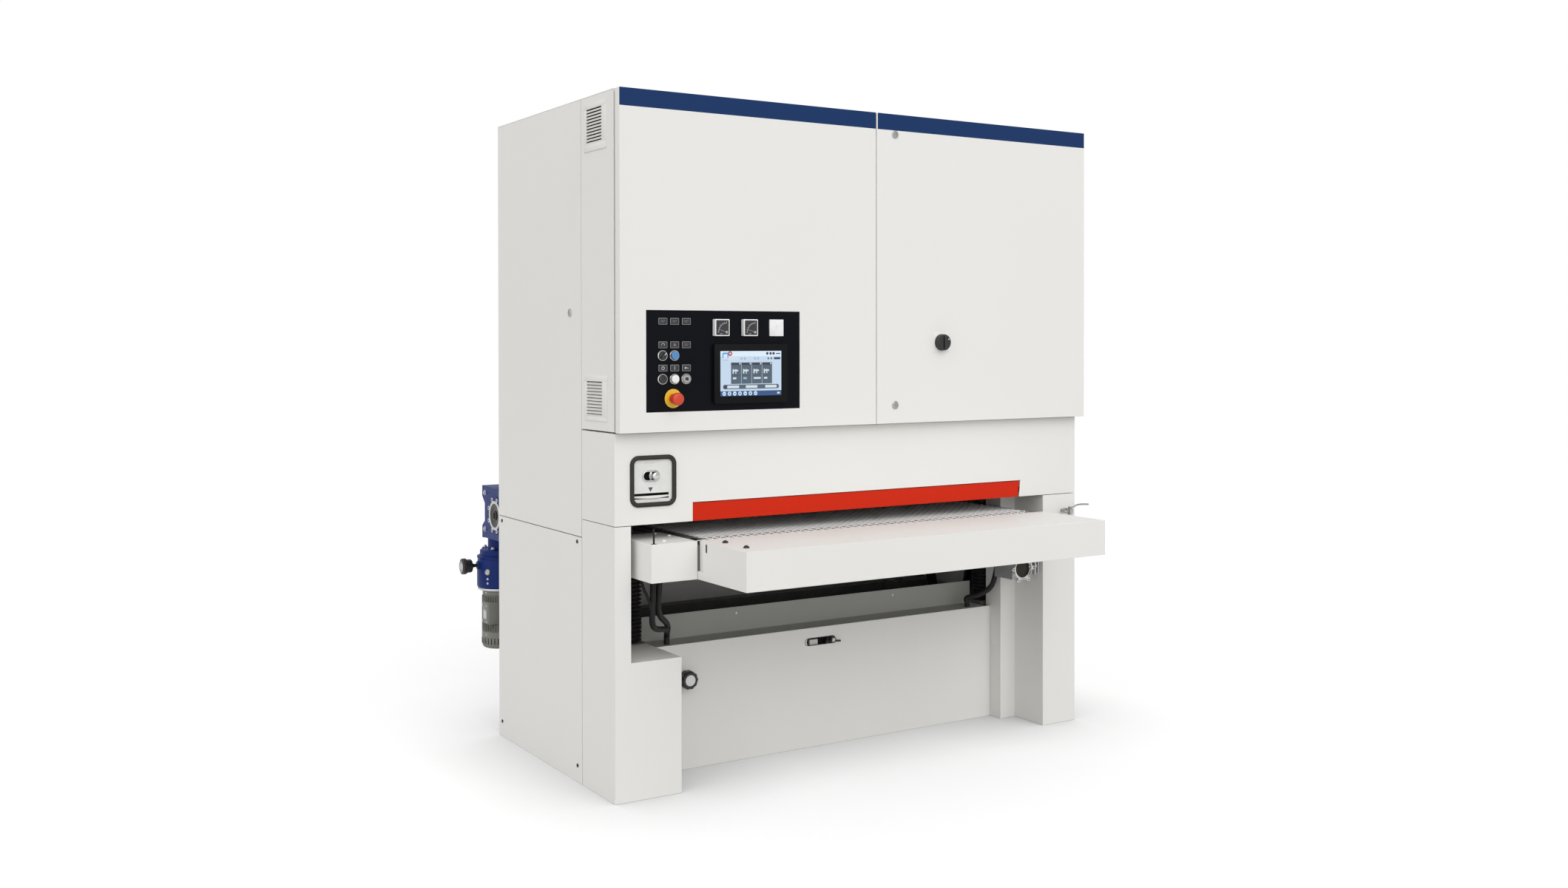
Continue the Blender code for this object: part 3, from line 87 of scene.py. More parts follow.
class Shape:
    """A mesh under construction, in places measured from the machine's front left corner."""

    def __init__(self):
        self.bm = bmesh.new()

    def take(self, part):
        """Adds a finished part; every method hands the shape back, so that calls can follow one another."""
        mesh = bpy.data.meshes.new("part")
        part.to_mesh(mesh)
        part.free()
        self.bm.from_mesh(mesh)
        bpy.data.meshes.remove(mesh)
        return self

    def block(self, low, high, edge=0.0, steps=2):
        part = bmesh.new()
        size = [b - a for a, b in zip(low, high)]
        middle = [(a + b) / 2 for a, b in zip(low, high)]
        bmesh.ops.create_cube(part, size=1, matrix=Matrix.Translation(middle) @ Matrix.Diagonal((*size, 1)))
        if edge:
            bmesh.ops.bevel(part, geom=part.edges[:], offset=edge, segments=steps, profile=0.5,
                            affect="EDGES", clamp_overlap=True)
        return self.take(part)

    def turned(self, profile, base, axis, sides=40):
        """A closed body from (radius, distance) pairs, turned about the axis through base."""
        turn = Vector(axis).to_track_quat("Z", "Y")
        part = bmesh.new()
        rings = []
        for radius, along in profile:
            if radius < 1e-6:
                rings.append([part.verts.new(Vector(base) + turn @ Vector((0, 0, along)))])
                continue
            rings.append([part.verts.new(Vector(base) + turn @ Vector((
                radius * math.cos(2 * math.pi * i / sides), radius * math.sin(2 * math.pi * i / sides), along)))
                for i in range(sides)])
        closed = len(rings[0]) > 1
        for ring, other in zip(rings, rings[1:] + (rings[:1] if closed else [])):
            for i in range(sides):
                j = (i + 1) % sides
                corners = [ring[i % len(ring)], ring[j % len(ring)], other[j % len(other)], other[i % len(other)]]
                corners = list(dict.fromkeys(corners))
                if len(corners) > 2:
                    part.faces.new(corners)
        bmesh.ops.recalc_face_normals(part, faces=part.faces[:])
        return self.take(part)

    def rod(self, base, axis, length, radius, sides=32, edge=0.0):
        edge = min(edge, radius / 2, length / 2)
        profile = [(0, 0), (radius - edge, 0), (radius, edge), (radius, length - edge), (radius - edge, length),
                   (0, length)]
        if not edge:
            profile = [(0, 0), (radius, 0), (radius, length), (0, length)]
        return self.turned(profile, base, axis, sides)

    def plate(self, outline, base, right, up, thickness, edge=0.0):
        """A flat plate from an outline of (right, up) pairs, its back on base and its face thickness away."""
        right, up = Vector(right), Vector(up)
        out = right.cross(up)
        part = bmesh.new()
        back = [part.verts.new(Vector(base) + right * a + up * b) for a, b in outline]
        face = [part.verts.new(v.co + out * thickness) for v in back]
        part.faces.new(back[::-1])
        top = part.faces.new(face)
        for i in range(len(back)):
            j = (i + 1) % len(back)
            part.faces.new((back[i], back[j], face[j], face[i]))
        if edge:
            bmesh.ops.bevel(part, geom=top.edges[:], offset=edge, segments=2, profile=0.5, affect="EDGES",
                            clamp_overlap=True)
        bmesh.ops.recalc_face_normals(part, faces=part.faces[:])
        return self.take(part)

    def tube(self, points, radius, sides=16, closed=False):
        """A round tube along the points; radius is a number or one value for each point."""
        points = [Vector(p) for p in points]
        count = len(points)
        part = bmesh.new()
        rings = []
        side = None
        for i, place in enumerate(points):
            before = points[i - 1] if i or closed else place
            after = points[(i + 1) % count] if i < count - 1 or closed else place
            way = (after - before).normalized()
            if side is None:
                side = way.orthogonal().normalized()
            side = (side - way * side.dot(way)).normalized()
            other = way.cross(side)
            reach = radius[i] if isinstance(radius, (list, tuple)) else radius
            rings.append([part.verts.new(place + reach * (side * math.cos(2 * math.pi * k / sides)
                                                          + other * math.sin(2 * math.pi * k / sides)))
                          for k in range(sides)])
        for ring, following in zip(rings, rings[1:] + (rings[:1] if closed else [])):
            for k in range(sides):
                m = (k + 1) % sides
                part.faces.new((ring[k], ring[m], following[m], following[k]))
        if not closed:
            part.faces.new(rings[0][::-1])
            part.faces.new(rings[-1])
        bmesh.ops.recalc_face_normals(part, faces=part.faces[:])
        return self.take(part)


def rounded_outline(left, right, low, high, corner, steps=6):
    """The (x, z) points of a rectangle with round corners, counter-clockwise."""
    outline = []
    for cx, cz, start in ((right - corner, high - corner, 0), (left + corner, high - corner, 90),
                          (left + corner, low + corner, 180), (right - corner, low + corner, 270)):
        for step in range(steps + 1):
            angle = math.radians(start + 90 * step / steps)
            outline.append((cx + corner * math.cos(angle), cz + corner * math.sin(angle)))
    return outline


def smooth_route(points, steps):
    """Points on a Catmull-Rom curve through the given ones."""
    knots = [Vector(p) for p in points]
    knots = [2 * knots[0] - knots[1], *knots, 2 * knots[-1] - knots[-2]]
    route = []
    for a, b, c, d in zip(knots, knots[1:], knots[2:], knots[3:]):
        for step in range(steps):
            t = step / steps
            route.append(0.5 * (2 * b + (c - a) * t + (2 * a - 5 * b + 4 * c - d) * t ** 2
                                + (3 * b - a - 3 * c + d) * t ** 3))
    route.append(knots[-2])
    return route


def finished(name, mesh, body, finish, replaces=(), sharp=CREASE):
    """Puts a mesh into the scene as a piece that moves with a body; finish names one of F's, or is None if set."""
    mesh.shade_smooth()
    mesh.set_sharp_from_angle(angle=math.radians(sharp))
    item = bpy.data.objects.new(name, mesh)
    bpy.context.scene.collection.objects.link(item)
    if finish is not None:
        mesh.materials.clear()
        mesh.materials.append(F[finish])
    if body:
        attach(item, body)
    for node in replaces:
        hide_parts(node)
    return item


def made(name, shape, body, finish, replaces=()):
    """Makes a piece from a Shape or a Print, in a finish."""
    mesh = bpy.data.meshes.new(name)
    shape.bm.to_mesh(mesh)
    shape.bm.free()
    mesh.transform(Matrix.Translation(CORNER))
    return finished(name, mesh, body, finish, replaces)


def lathed(name, profile, base, axis, sides, body, finish, replaces=()):
    """A piece turned from one profile."""
    return made(name, Shape().turned(profile, base, axis, sides), body, finish, replaces)


def boxed(name, low, high, edge, body, finish):
    """A piece that is one block."""
    return made(name, Shape().block(low, high, edge), body, finish)


def evaluated_mesh(item):
    bpy.context.view_layer.update()
    return bpy.data.meshes.new_from_object(item.evaluated_get(bpy.context.evaluated_depsgraph_get()))


def softened(node, name, finish, width):
    """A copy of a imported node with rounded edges, which stands for it."""
    mesh = frame["nodes"][node].data.copy()
    bm = bmesh.new()
    bm.from_mesh(mesh)
    bmesh.ops.remove_doubles(bm, verts=bm.verts[:], dist=0.00001)
    bmesh.ops.dissolve_limit(bm, angle_limit=0.002, verts=bm.verts[:], edges=bm.edges[:])
    bm.to_mesh(mesh)
    bm.free()
    if "custom_normal" in mesh.attributes:
        mesh.attributes.remove(mesh.attributes["custom_normal"])
    mesh.shade_smooth()
    guide = bpy.data.objects.new("guide", mesh)
    bpy.context.scene.collection.objects.link(guide)
    rounding = guide.modifiers.new("rounding", "BEVEL")
    rounding.width = width
    rounding.segments = 2
    rounding.limit_method = "ANGLE"
    rounding.angle_limit = math.radians(40)
    corners = guide.modifiers.new("triangles", "TRIANGULATE")
    corners.quad_method = "BEAUTY"
    shading = guide.modifiers.new("shading", "WEIGHTED_NORMAL")
    shading.mode = "FACE_AREA"
    shading.weight = 100
    shading.keep_sharp = True
    result = evaluated_mesh(guide)
    bpy.data.objects.remove(guide)
    item = bpy.data.objects.new(name, result)
    bpy.context.scene.collection.objects.link(item)
    result.materials.clear()
    result.materials.append(F[finish])
    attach(item, BODY_OF[node])
    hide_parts(node)
    return item


BODY_OF = {node: body for body, nodes in frame["record"]["behaviour"]["bodies"].items() for node in nodes}


# Repeats made with Geometry Nodes.

def node_group(name, inputs):
    """A Geometry Nodes tree with its group input and output; inputs are (name, socket type, value)."""
    tree = bpy.data.node_groups.new(name, "GeometryNodeTree")
    tree.interface.new_socket("Geometry", in_out="INPUT", socket_type="NodeSocketGeometry")
    for label, kind, value in inputs:
        socket = tree.interface.new_socket(label, in_out="INPUT", socket_type=kind)
        if value is not None:
            socket.default_value = value
    tree.interface.new_socket("Geometry", in_out="OUTPUT", socket_type="NodeSocketGeometry")
    return tree, tree.nodes.new("NodeGroupInput"), tree.nodes.new("NodeGroupOutput")


def close_tree(tree, source, result, geometry):
    """Realizes the instances, sets the finish and links the result."""
    real = tree.nodes.new("GeometryNodeRealizeInstances")
    finish = tree.nodes.new("GeometryNodeSetMaterial")
    tree.links.new(geometry, real.inputs["Geometry"])
    tree.links.new(real.outputs["Geometry"], finish.inputs["Geometry"])
    tree.links.new(source.outputs["Finish"], finish.inputs["Material"])
    tree.links.new(finish.outputs["Geometry"], result.inputs["Geometry"])


def copies_tree():
    """One copy of the template at each point, turned by the point's turn attribute."""
    tree, source, result = node_group("copies_at_points", (
        ("Template", "NodeSocketObject", None), ("Size", "NodeSocketFloat", 1.0),
        ("Finish", "NodeSocketMaterial", None)))
    template = tree.nodes.new("GeometryNodeObjectInfo")
    turn = tree.nodes.new("GeometryNodeInputNamedAttribute")
    turn.data_type = "QUATERNION"
    turn.inputs["Name"].default_value = "turn"
    copies = tree.nodes.new("GeometryNodeInstanceOnPoints")
    tree.links.new(source.outputs["Template"], template.inputs["Object"])
    tree.links.new(source.outputs["Geometry"], copies.inputs["Points"])
    tree.links.new(template.outputs["Geometry"], copies.inputs["Instance"])
    tree.links.new(turn.outputs["Attribute"], copies.inputs["Rotation"])
    tree.links.new(source.outputs["Size"], copies.inputs["Scale"])
    close_tree(tree, source, result, copies.outputs["Instances"])
    return tree


def row_tree():
    """A row of equal bars, Count of them, each Step from the last."""
    tree, source, result = node_group("row_of_bars", (
        ("Count", "NodeSocketInt", 10), ("Start", "NodeSocketVector", None), ("Step", "NodeSocketVector", None),
        ("Bar Size", "NodeSocketVector", None), ("Lean", "NodeSocketRotation", None),
        ("Finish", "NodeSocketMaterial", None)))
    line = tree.nodes.new("GeometryNodeMeshLine")
    bar = tree.nodes.new("GeometryNodeMeshCube")
    copies = tree.nodes.new("GeometryNodeInstanceOnPoints")
    tree.links.new(source.outputs["Count"], line.inputs["Count"])
    tree.links.new(source.outputs["Start"], line.inputs["Start Location"])
    tree.links.new(source.outputs["Step"], line.inputs["Offset"])
    tree.links.new(source.outputs["Bar Size"], bar.inputs["Size"])
    tree.links.new(line.outputs["Mesh"], copies.inputs["Points"])
    tree.links.new(bar.outputs["Mesh"], copies.inputs["Instance"])
    tree.links.new(source.outputs["Lean"], copies.inputs["Rotation"])
    close_tree(tree, source, result, copies.outputs["Instances"])
    return tree


def run_tree(tree, mesh, values):
    """The plain mesh that a tree makes from a mesh and its named inputs."""
    guide = bpy.data.objects.new("guide", mesh)
    bpy.context.scene.collection.objects.link(guide)
    modifier = guide.modifiers.new("repeat", "NODES")
    modifier.node_group = tree
    sockets = {s.name: s.identifier for s in tree.interface.items_tree if s.in_out == "INPUT"}
    for name, value in values.items():
        modifier[sockets[name]] = value
    result = evaluated_mesh(guide)
    bpy.data.objects.remove(guide)
    return result


def repeated(name, template, spots, body, finish, sharp=CREASE):
    """A piece of copies of a template Shape at (place, turn) spots; a turn is a rotation or the way its +Z faces."""
    item = bpy.data.objects.new("template", bpy.data.meshes.new("template"))
    template.bm.to_mesh(item.data)
    template.bm.free()
    points = bpy.data.meshes.new("points")
    points.from_pydata([CORNER + Vector(place) for place, _ in spots], [], [])
    turns = points.attributes.new("turn", "QUATERNION", "POINT")
    for datum, (_, turn) in zip(turns.data, spots):
        datum.value = turn if isinstance(turn, Quaternion) else Vector(turn).to_track_quat("Z", "Y")
    mesh = run_tree(TREES["copies"], points, {"Template": item, "Size": 1.0, "Finish": F[finish]})
    bpy.data.objects.remove(item)
    return finished(name, mesh, body, None, sharp=sharp)


def round_about(place, axis, angles):
    """Spots at one place, turned about an axis by each angle in degrees."""
    return [(place, Quaternion(axis, math.radians(angle))) for angle in angles]


TREES = {}


# Shader making.

class Value:
    """A shader socket that takes arithmetic; each operation adds its Math node."""

    def __init__(self, paint, socket):
        self.paint = paint
        self.socket = socket

    def math(self, operation, other, turned=False):
        first, second = (other, self) if turned else (self, other)
        return self.paint.node("ShaderNodeMath", {"operation": operation}, {0: first, 1: second})

    def __add__(self, other):
        return self.math("ADD", other)

    def __sub__(self, other):
        return self.math("SUBTRACT", other)

    def __rsub__(self, other):
        return self.math("SUBTRACT", other, turned=True)

    def __mul__(self, other):
        return self.math("MULTIPLY", other)

    def __gt__(self, other):
        return self.math("GREATER_THAN", other)

    def __lt__(self, other):
        return self.math("LESS_THAN", other)

    __radd__ = __add__
    __rmul__ = __mul__


class Paint:
    """A node material built round one Principled shader."""

    def __init__(self, name, colour, roughness=0.5, metallic=0.0, **fixed):
        self.material = bpy.data.materials.new(name)
        self.material.use_nodes = True
        self.nodes = self.material.node_tree.nodes
        self.links = self.material.node_tree.links
        self.shader = self.nodes["Principled BSDF"]
        self.shader.inputs["Base Color"].default_value = (*colour, 1)
        self.shader.inputs["Roughness"].default_value = roughness
        self.shader.inputs["Metallic"].default_value = metallic
        for socket in self.shader.inputs:
            named = socket.name.lower().replace(" ", "_")
            if named in fixed:
                socket.default_value = fixed[named]
        self.material.diffuse_color = (*colour, 1)

    def node(self, kind, settings=None, values=None, output=0):
        """Adds a node, sets it, fills its sockets with numbers or links and returns one output."""
        made_node = self.nodes.new(kind)
        for key, value in (settings or {}).items():
            setattr(made_node, key, value)
        for key, value in (values or {}).items():
            if isinstance(value, Value):
                self.links.new(value.socket, made_node.inputs[key])
            elif isinstance(value, (tuple, list)) and made_node.inputs[key].type == "RGBA":
                made_node.inputs[key].default_value = (*value[:3], 1)
            else:
                made_node.inputs[key].default_value = value
        return Value(self, made_node.outputs[output])

    def place(self):
        return self.node("ShaderNodeTexCoord", output="Object")

    def axes(self):
        """The object place as three numbers measured from the machine's front left corner."""
        moved = self.node("ShaderNodeVectorMath", {"operation": "SUBTRACT"}, {0: self.place(), 1: CORNER})
        apart = self.node("ShaderNodeSeparateXYZ", {}, {0: moved})
        node = apart.socket.node
        return [Value(self, node.outputs[i]) for i in range(3)]

    def noise(self, scale, detail=2.0, stretch=(1, 1, 1), roughness=0.5):
        place = self.place()
        if stretch != (1, 1, 1):
            place = self.node("ShaderNodeMapping", {}, {"Vector": place, "Scale": stretch})
        return self.node("ShaderNodeTexNoise", {}, {"Vector": place, "Scale": scale, "Detail": detail,
                                                    "Roughness": roughness})

    def mix(self, factor, first, second):
        """A colour between first and second."""
        return self.node("ShaderNodeMix", {"data_type": "RGBA"}, {0: factor, 6: first, 7: second}, output=2)

    def set(self, socket, value):
        self.links.new(value.socket, self.shader.inputs[socket])

    def bump(self, height, distance, strength=1.0):
        normal = self.node("ShaderNodeBump", {}, {"Height": height, "Distance": distance, "Strength": strength},
                           output="Normal")
        self.set("Normal", normal)

    def vary(self, colour, other, scale, low, high, detail=3.0):
        """Base colour drifting between two tints, and roughness between low and high."""
        drift = self.noise(scale, detail)
        self.set("Base Color", self.mix(drift, colour, other))
        self.set("Roughness", self.noise(scale * 2.3, detail) * (high - low) + low)


def tint(colour, factor):
    return tuple(min(1.0, c * factor) for c in colour)


def powder_coat(name, colour, low=0.36, high=0.46, stripe=None):
    """Oven-baked powder paint: a fine peel, a faint drift in tint, and a printed stripe where asked."""
    paint = Paint(name, colour, specular_ior_level=0.18)
    base = paint.mix(paint.noise(2.2, 3), tint(colour, 0.985), tint(colour, 1.015))
    speck = paint.noise(1400, 1)
    base = paint.mix(speck * 0.05, base, tint(colour, 0.8))
    if stripe:
        stripe_colour, stripe_low = stripe
        x, y, z = paint.axes()
        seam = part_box("right_front_door")[0].x - CORNER.x
        film = (z > stripe_low) * (y < DOOR_Y + 0.0006) * (1 - (x > seam - 0.001) * (x < seam + 0.0042))
        base = paint.mix(film, base, stripe_colour)
    paint.set("Base Color", base)
    paint.set("Roughness", paint.noise(5, 2) * (high - low) + low)
    paint.bump(paint.noise(420, 2), 0.00006, 0.5)
    return paint.material


def machine_enamel(name, colour, metallic=0.0):
    """Brushed-on enamel over a casting, a little uneven."""
    paint = Paint(name, colour, metallic=metallic, specular_ior_level=0.12)
    paint.vary(tint(colour, 0.82), tint(colour, 1.15), 14, 0.3, 0.48)
    paint.bump(paint.noise(160, 4), 0.0003, 0.5)
    return paint.material


def metal(name, colour, low=0.2, high=0.36, stretch=(1, 1, 1), scale=220.0, bump=0.00004):
    """Turned, rolled or cast metal; stretch draws the grain out."""
    paint = Paint(name, colour, metallic=1.0)
    grain = paint.noise(scale, 3, stretch)
    paint.set("Base Color", paint.mix(grain, tint(colour, 0.8), tint(colour, 1.12)))
    paint.set("Roughness", grain * (high - low) + low)
    paint.bump(grain, bump)
    return paint.material


def moulded(name, colour, low=0.32, high=0.45, **fixed):
    """Moulded plastic with a fine spark-eroded grain."""
    paint = Paint(name, colour, **fixed)
    paint.vary(tint(colour, 0.92), tint(colour, 1.1), 40, low, high)
    paint.bump(paint.noise(900, 2), 0.00008, 0.6)
    return paint.material


def rubber(name, colour, low=0.55, high=0.75):
    paint = Paint(name, colour, specular_ior_level=0.35)
    paint.vary(tint(colour, 0.75), tint(colour, 1.35), 25, low, high, detail=5)
    paint.bump(paint.noise(600, 4), 0.0002, 0.6)
    return paint.material


def abrasive(name, colour):
    """Grit glued on cloth."""
    paint = Paint(name, colour, roughness=0.9)
    grit = paint.node("ShaderNodeTexVoronoi", {}, {"Vector": paint.place(), "Scale": 900})
    paint.set("Base Color", paint.mix(grit, tint(colour, 1.5), tint(colour, 0.5)))
    paint.set("Roughness", paint.noise(300, 2) * 0.2 + 0.75)
    paint.bump(grit, 0.0004)
    return paint.material


def conveyor_rubber(name, colour):
    """Pale rough-top rubber with dust worked into it."""
    paint = Paint(name, colour, roughness=0.7)
    dust = paint.noise(60, 5)
    paint.set("Base Color", paint.mix(dust, tint(colour, 0.8), tint(colour, 1.18)))
    paint.set("Roughness", paint.noise(90, 3) * 0.25 + 0.55)
    paint.bump(paint.noise(500, 3), 0.0003, 0.7)
    return paint.material


def printed(name, glow=0.0, roughness=0.35):
    """Ink or light in the colours painted on the mesh."""
    paint = Paint(name, (0.5, 0.5, 0.5), roughness=roughness)
    ink = paint.node("ShaderNodeVertexColor", {"layer_name": "ink"})
    fleck = paint.noise(700, 1)
    paint.set("Base Color", paint.mix(fleck * 0.08 + (0.85 if glow else 0), ink, (0.02,) * 3 if glow else (0.3,) * 3))
    paint.set("Roughness", paint.noise(120, 2) * 0.15 + roughness - 0.07)
    if glow:
        paint.set("Emission Color", ink)
        paint.shader.inputs["Emission Strength"].default_value = glow
    return paint.material


def dark_glass(name):
    paint = Paint(name, (0.003, 0.0035, 0.006), specular_ior_level=0.08)
    paint.vary((0.0025, 0.003, 0.0055), (0.004, 0.0045, 0.007), 8, 0.28, 0.40)
    paint.bump(paint.noise(260, 2), 0.00003, 0.5)
    return paint.material


def floor_finish(name, shade, lift):
    """A pale floor whose lit parts read as white and whose shadows stay, with a painted contact shadow from ambient
    occlusion that keeps the corners by the machine dark.
    """
    paint = Paint(name, (shade,) * 3, roughness=0.9, specular_ior_level=0.1)
    seen = paint.node("ShaderNodeLightPath", output="Is Camera Ray")
    mirrored = paint.node("ShaderNodeLightPath", output="Is Glossy Ray")
    # Ambient occlusion dims the added glow near the machine: a painted contact shadow on the floor.
    openness = paint.node("ShaderNodeAmbientOcclusion", {"samples": 12}, {"Distance": 0.45}, output="AO")
    glow = paint.node("ShaderNodeEmission", {}, {"Color": (1, 1, 1), "Strength": (seen + mirrored) * openness * lift})
    both = paint.node("ShaderNodeAddShader", {}, {0: Value(paint, paint.shader.outputs[0]), 1: glow})
    paint.links.new(both.socket, paint.nodes["Material Output"].inputs["Surface"])
    return paint.material


def two_part_roller(name, colour):
    """Rubber between the drum's ends and steel beyond them."""
    low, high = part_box("front_sanding_belt")
    paint = Paint(name, colour)
    x = paint.axes()[0]
    rubber_part = (x > low.x - CORNER.x - 0.006) * (x < high.x - CORNER.x + 0.006)
    wear = paint.noise(70, 4)
    paint.set("Base Color", paint.mix(rubber_part, (0.5, 0.5, 0.5), colour))
    paint.set("Metallic", 1 - rubber_part)
    paint.set("Roughness", wear * 0.2 + rubber_part * 0.35 + 0.2)
    paint.bump(wear, 0.0002, 0.4)
    return paint.material


F = {}


def mix_finishes(looks):
    """Every finish of the machine, by plain name."""
    body = tuple(looks.body_colour)
    stripe_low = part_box("left_front_door")[1].z - looks.stripe_height
    F.update(
        coat=powder_coat("white_powder_coat", body),
        door=powder_coat("white_door_with_stripe", body, stripe=(tuple(looks.stripe_colour), stripe_low)),
        red=powder_coat("red_bar_paint", tuple(looks.bar_colour), 0.34, 0.46),
        frame=machine_enamel("grey_frame_enamel", (0.15, 0.15, 0.142)),
        tray=powder_coat("grey_tray_paint", (0.42, 0.42, 0.395), 0.45, 0.55),
        blue=machine_enamel("blue_drive_enamel", (0.012, 0.030, 0.165)),
        motor=machine_enamel("grey_motor_enamel", (0.25, 0.25, 0.225)),
        chrome=metal("polished_fitting", (0.62, 0.62, 0.61), 0.1, 0.24),
        steel=metal("turned_steel", (0.50, 0.50, 0.50), 0.24, 0.4, (1, 30, 30), 60),
        # Near-black metal in the gearbox recesses: steel with painted shade of the hollows.
        dull=metal("dull_bored_steel", (0.036, 0.033, 0.027), 0.22, 0.42, scale=300),
        nickel=metal("nickelled_brass", (0.42, 0.41, 0.39), 0.12, 0.28),
        cast=metal("cast_aluminium", (0.60, 0.60, 0.60), 0.35, 0.5, scale=400, bump=0.0002),
        gauge=moulded("pale_gauge_face", (0.72, 0.72, 0.70), 0.4, 0.5),
        black=moulded("black_knob_plastic", (0.012, 0.012, 0.013)),
        gloss=moulded("black_gloss_plastic", (0.010, 0.010, 0.012), 0.18, 0.26, coat_weight=0.3),
        grey=moulded("grey_label_plastic", (0.33, 0.33, 0.34), 0.25, 0.4),
        bezel=moulded("screen_bezel_plastic", (0.005, 0.005, 0.006), 0.45, 0.6, specular_ior_level=0.1),
        white=moulded("white_lens_plastic", (0.82, 0.82, 0.82), 0.2, 0.3),
        blue_lens=moulded("blue_lens_plastic", (0.07, 0.24, 0.52), 0.16, 0.26, coat_weight=0.3),
        red_knob=moulded("red_stop_plastic", (0.60, 0.050, 0.014), 0.3, 0.42),
        yellow=moulded("yellow_ring_plastic", (0.80, 0.50, 0.03), 0.3, 0.42),
        panel=dark_glass("dark_panel_overlay"),
        rubber=rubber("black_rubber", (0.009, 0.009, 0.0088)),
        trim=rubber("dark_edge_trim", (0.021, 0.019, 0.016), 0.4, 0.55),
        # The web is a dark copy of the pale rib rubber: painted shade between the ribs.
        belt=conveyor_rubber("pale_feed_rubber", (0.22, 0.22, 0.215)),
        rib=conveyor_rubber("pale_feed_ribs", (0.66, 0.66, 0.65)),
        grit=abrasive("sanding_grit", (0.20, 0.09, 0.04)),
        ink=printed("printed_marks"),
        screen=printed("screen_picture", glow=0.9, roughness=0.3),
        # Near-black sheets behind grilles, slots, holes and bores: painted shade where there is only an opening.
        hollow=rubber("dark_hollow", (0.006, 0.006, 0.006), 0.8, 0.9),
        drum=two_part_roller("contact_drum_rubber", (0.018, 0.018, 0.019)),
        roll=two_part_roller("pressure_roller_rubber", (0.03, 0.03, 0.03)),
    )


# Flat marks with colours painted on the mesh.

class Print:
    """Flat coloured shapes on an upright plane that faces the operator, each layer a little in front."""

    def __init__(self, y, layer=0.00012):
        self.bm = bmesh.new()
        self.ink = self.bm.loops.layers.float_color.new("ink")
        self.y = y
        self.layer = layer

    def patch(self, points, colour, level=0):
        y = self.y - level * self.layer
        face = self.bm.faces.new([self.bm.verts.new((x, y, z)) for x, z in points])
        face.normal_update()
        if face.normal.y > 0:
            face.normal_flip()
        for loop in face.loops:
            loop[self.ink] = (*colour, 1)

    def rectangle(self, left, right, low, high, colour, level=0):
        self.patch([(left, low), (right, low), (right, high), (left, high)], colour, level)

    def disc(self, x, z, radius, colour, level=0, sides=20):
        self.patch([(x + radius * math.cos(2 * math.pi * i / sides), z + radius * math.sin(2 * math.pi * i / sides))
                    for i in range(sides)], colour, level)

    def stroke(self, points, width, colour, level=0):
        """A line through the points, as one flat strip for each run."""
        for (ax, az), (bx, bz) in zip(points, points[1:]):
            way = Vector((bx - ax, bz - az)).normalized() * width / 2
            self.patch([(ax + way.y, az - way.x), (bx + way.y, bz - way.x),
                        (bx - way.y, bz + way.x), (ax - way.y, az + way.x)], colour, level)


def arc(x, z, radius, start, end, steps=10):
    """(x, z) points on an arc, its angles in degrees."""
    return [(x + radius * math.cos(math.radians(start + (end - start) * i / steps)),
             z + radius * math.sin(math.radians(start + (end - start) * i / steps))) for i in range(steps + 1)]


# Body panels and doors.

def coat_panels(looks):
    width = looks.edge_width
    for node in ("left_front_cover", "right_front_cover", "lower_front_panel", "left_lower_panel", "right_side_panel",
                 "rear_upper_panel", "rear_lower_panel", "top_cover", "hood_panel", "electrical_cabinet",
                 "infeed_shelf", "table_side_box", "side_door"):
        softened(node, f"{node}_paintwork", "coat", width)
    for node in ("left_front_door", "right_front_door"):
        softened(node, f"{node}_paintwork", "door", width)
    for node in ("main_frame", "table_frame", "sanding_head_frame"):
        softened(node, f"{node}_enamel", "frame", 0.003)
    softened("under_table_tray", "tray_paintwork", "tray", 0.0006)
    softened("safety_bar", "safety_bar_paintwork", "red", 0.0006)
    softened("belt_change_bar", "belt_change_bar_paintwork", "red", 0.003)


def panel_screws():
    """Cap screws that hold the covers, and the hinge barrels of the doors."""
    rear_x = [0.10, 0.66, BODY_WIDTH - 0.66, BODY_WIDTH - 0.10]
    spots = [((x, BACK_Y, z), -FRONT) for x in rear_x for z in (0.92, 1.55, 2.17, 0.04, 0.54)]
    spots += [((BODY_WIDTH, y, z), -LEFT) for y in (0.29, 0.93) for z in (0.12, 0.80, 1.50, 2.16)]
    spots += [((x, y, COVER_TOP - 0.085), UP) for x in (0.05, 0.5 * BODY_WIDTH, BODY_WIDTH - 0.05)
              for y in (0.05, 0.93)]
    repeated("cover_screws", cap_screw(0.0055, 0.0026), spots, "frame_body", "steel")
    spots = [((0, y, z), LEFT) for y in (0.281, 0.943) for z in (0.055, 0.786)]
    repeated("lower_panel_screws", cap_screw(0.0062, 0.0026), spots, "frame_body", "black")
    barrels = Shape()
    for x, base in ((0.004, 1.30), (0.004, 2.02), (BODY_WIDTH + 0.0068, 1.30), (BODY_WIDTH + 0.0068, 2.02)):
        barrels.rod((x, -0.0125, base), UP, 0.055, 0.0035, 20, 0.0006)
    made("door_hinge_barrels", barrels, "frame_body", "steel")
    side = Shape()
    for base in (0.95, 1.50, 2.05):
        side.rod((0.0035, BACK_Y - 0.0042, base), UP, 0.06, 0.0035, 20, 0.0006)
    made("side_door_hinge_barrels", side, "frame_body", "steel")
    collars = Shape()
    for x in (0.55, BODY_WIDTH - 0.55):
        spigot, foot = (x, 0.62, 0), COVER_TOP - 0.083
        collars.turned([(0.0755, foot), (0.088, foot), (0.088, COVER_TOP - 0.080), (0.0775, COVER_TOP - 0.079)],
                       spigot, UP, 64)
        for z in (COVER_TOP - 0.022, COVER_TOP - 0.006):
            collars.turned([(0.0752, z - 0.004), (0.0775, z), (0.0752, z + 0.004), (0.0735, z)], spigot, UP, 64)
    made("dust_spigot_beads", collars, "frame_body", "coat")


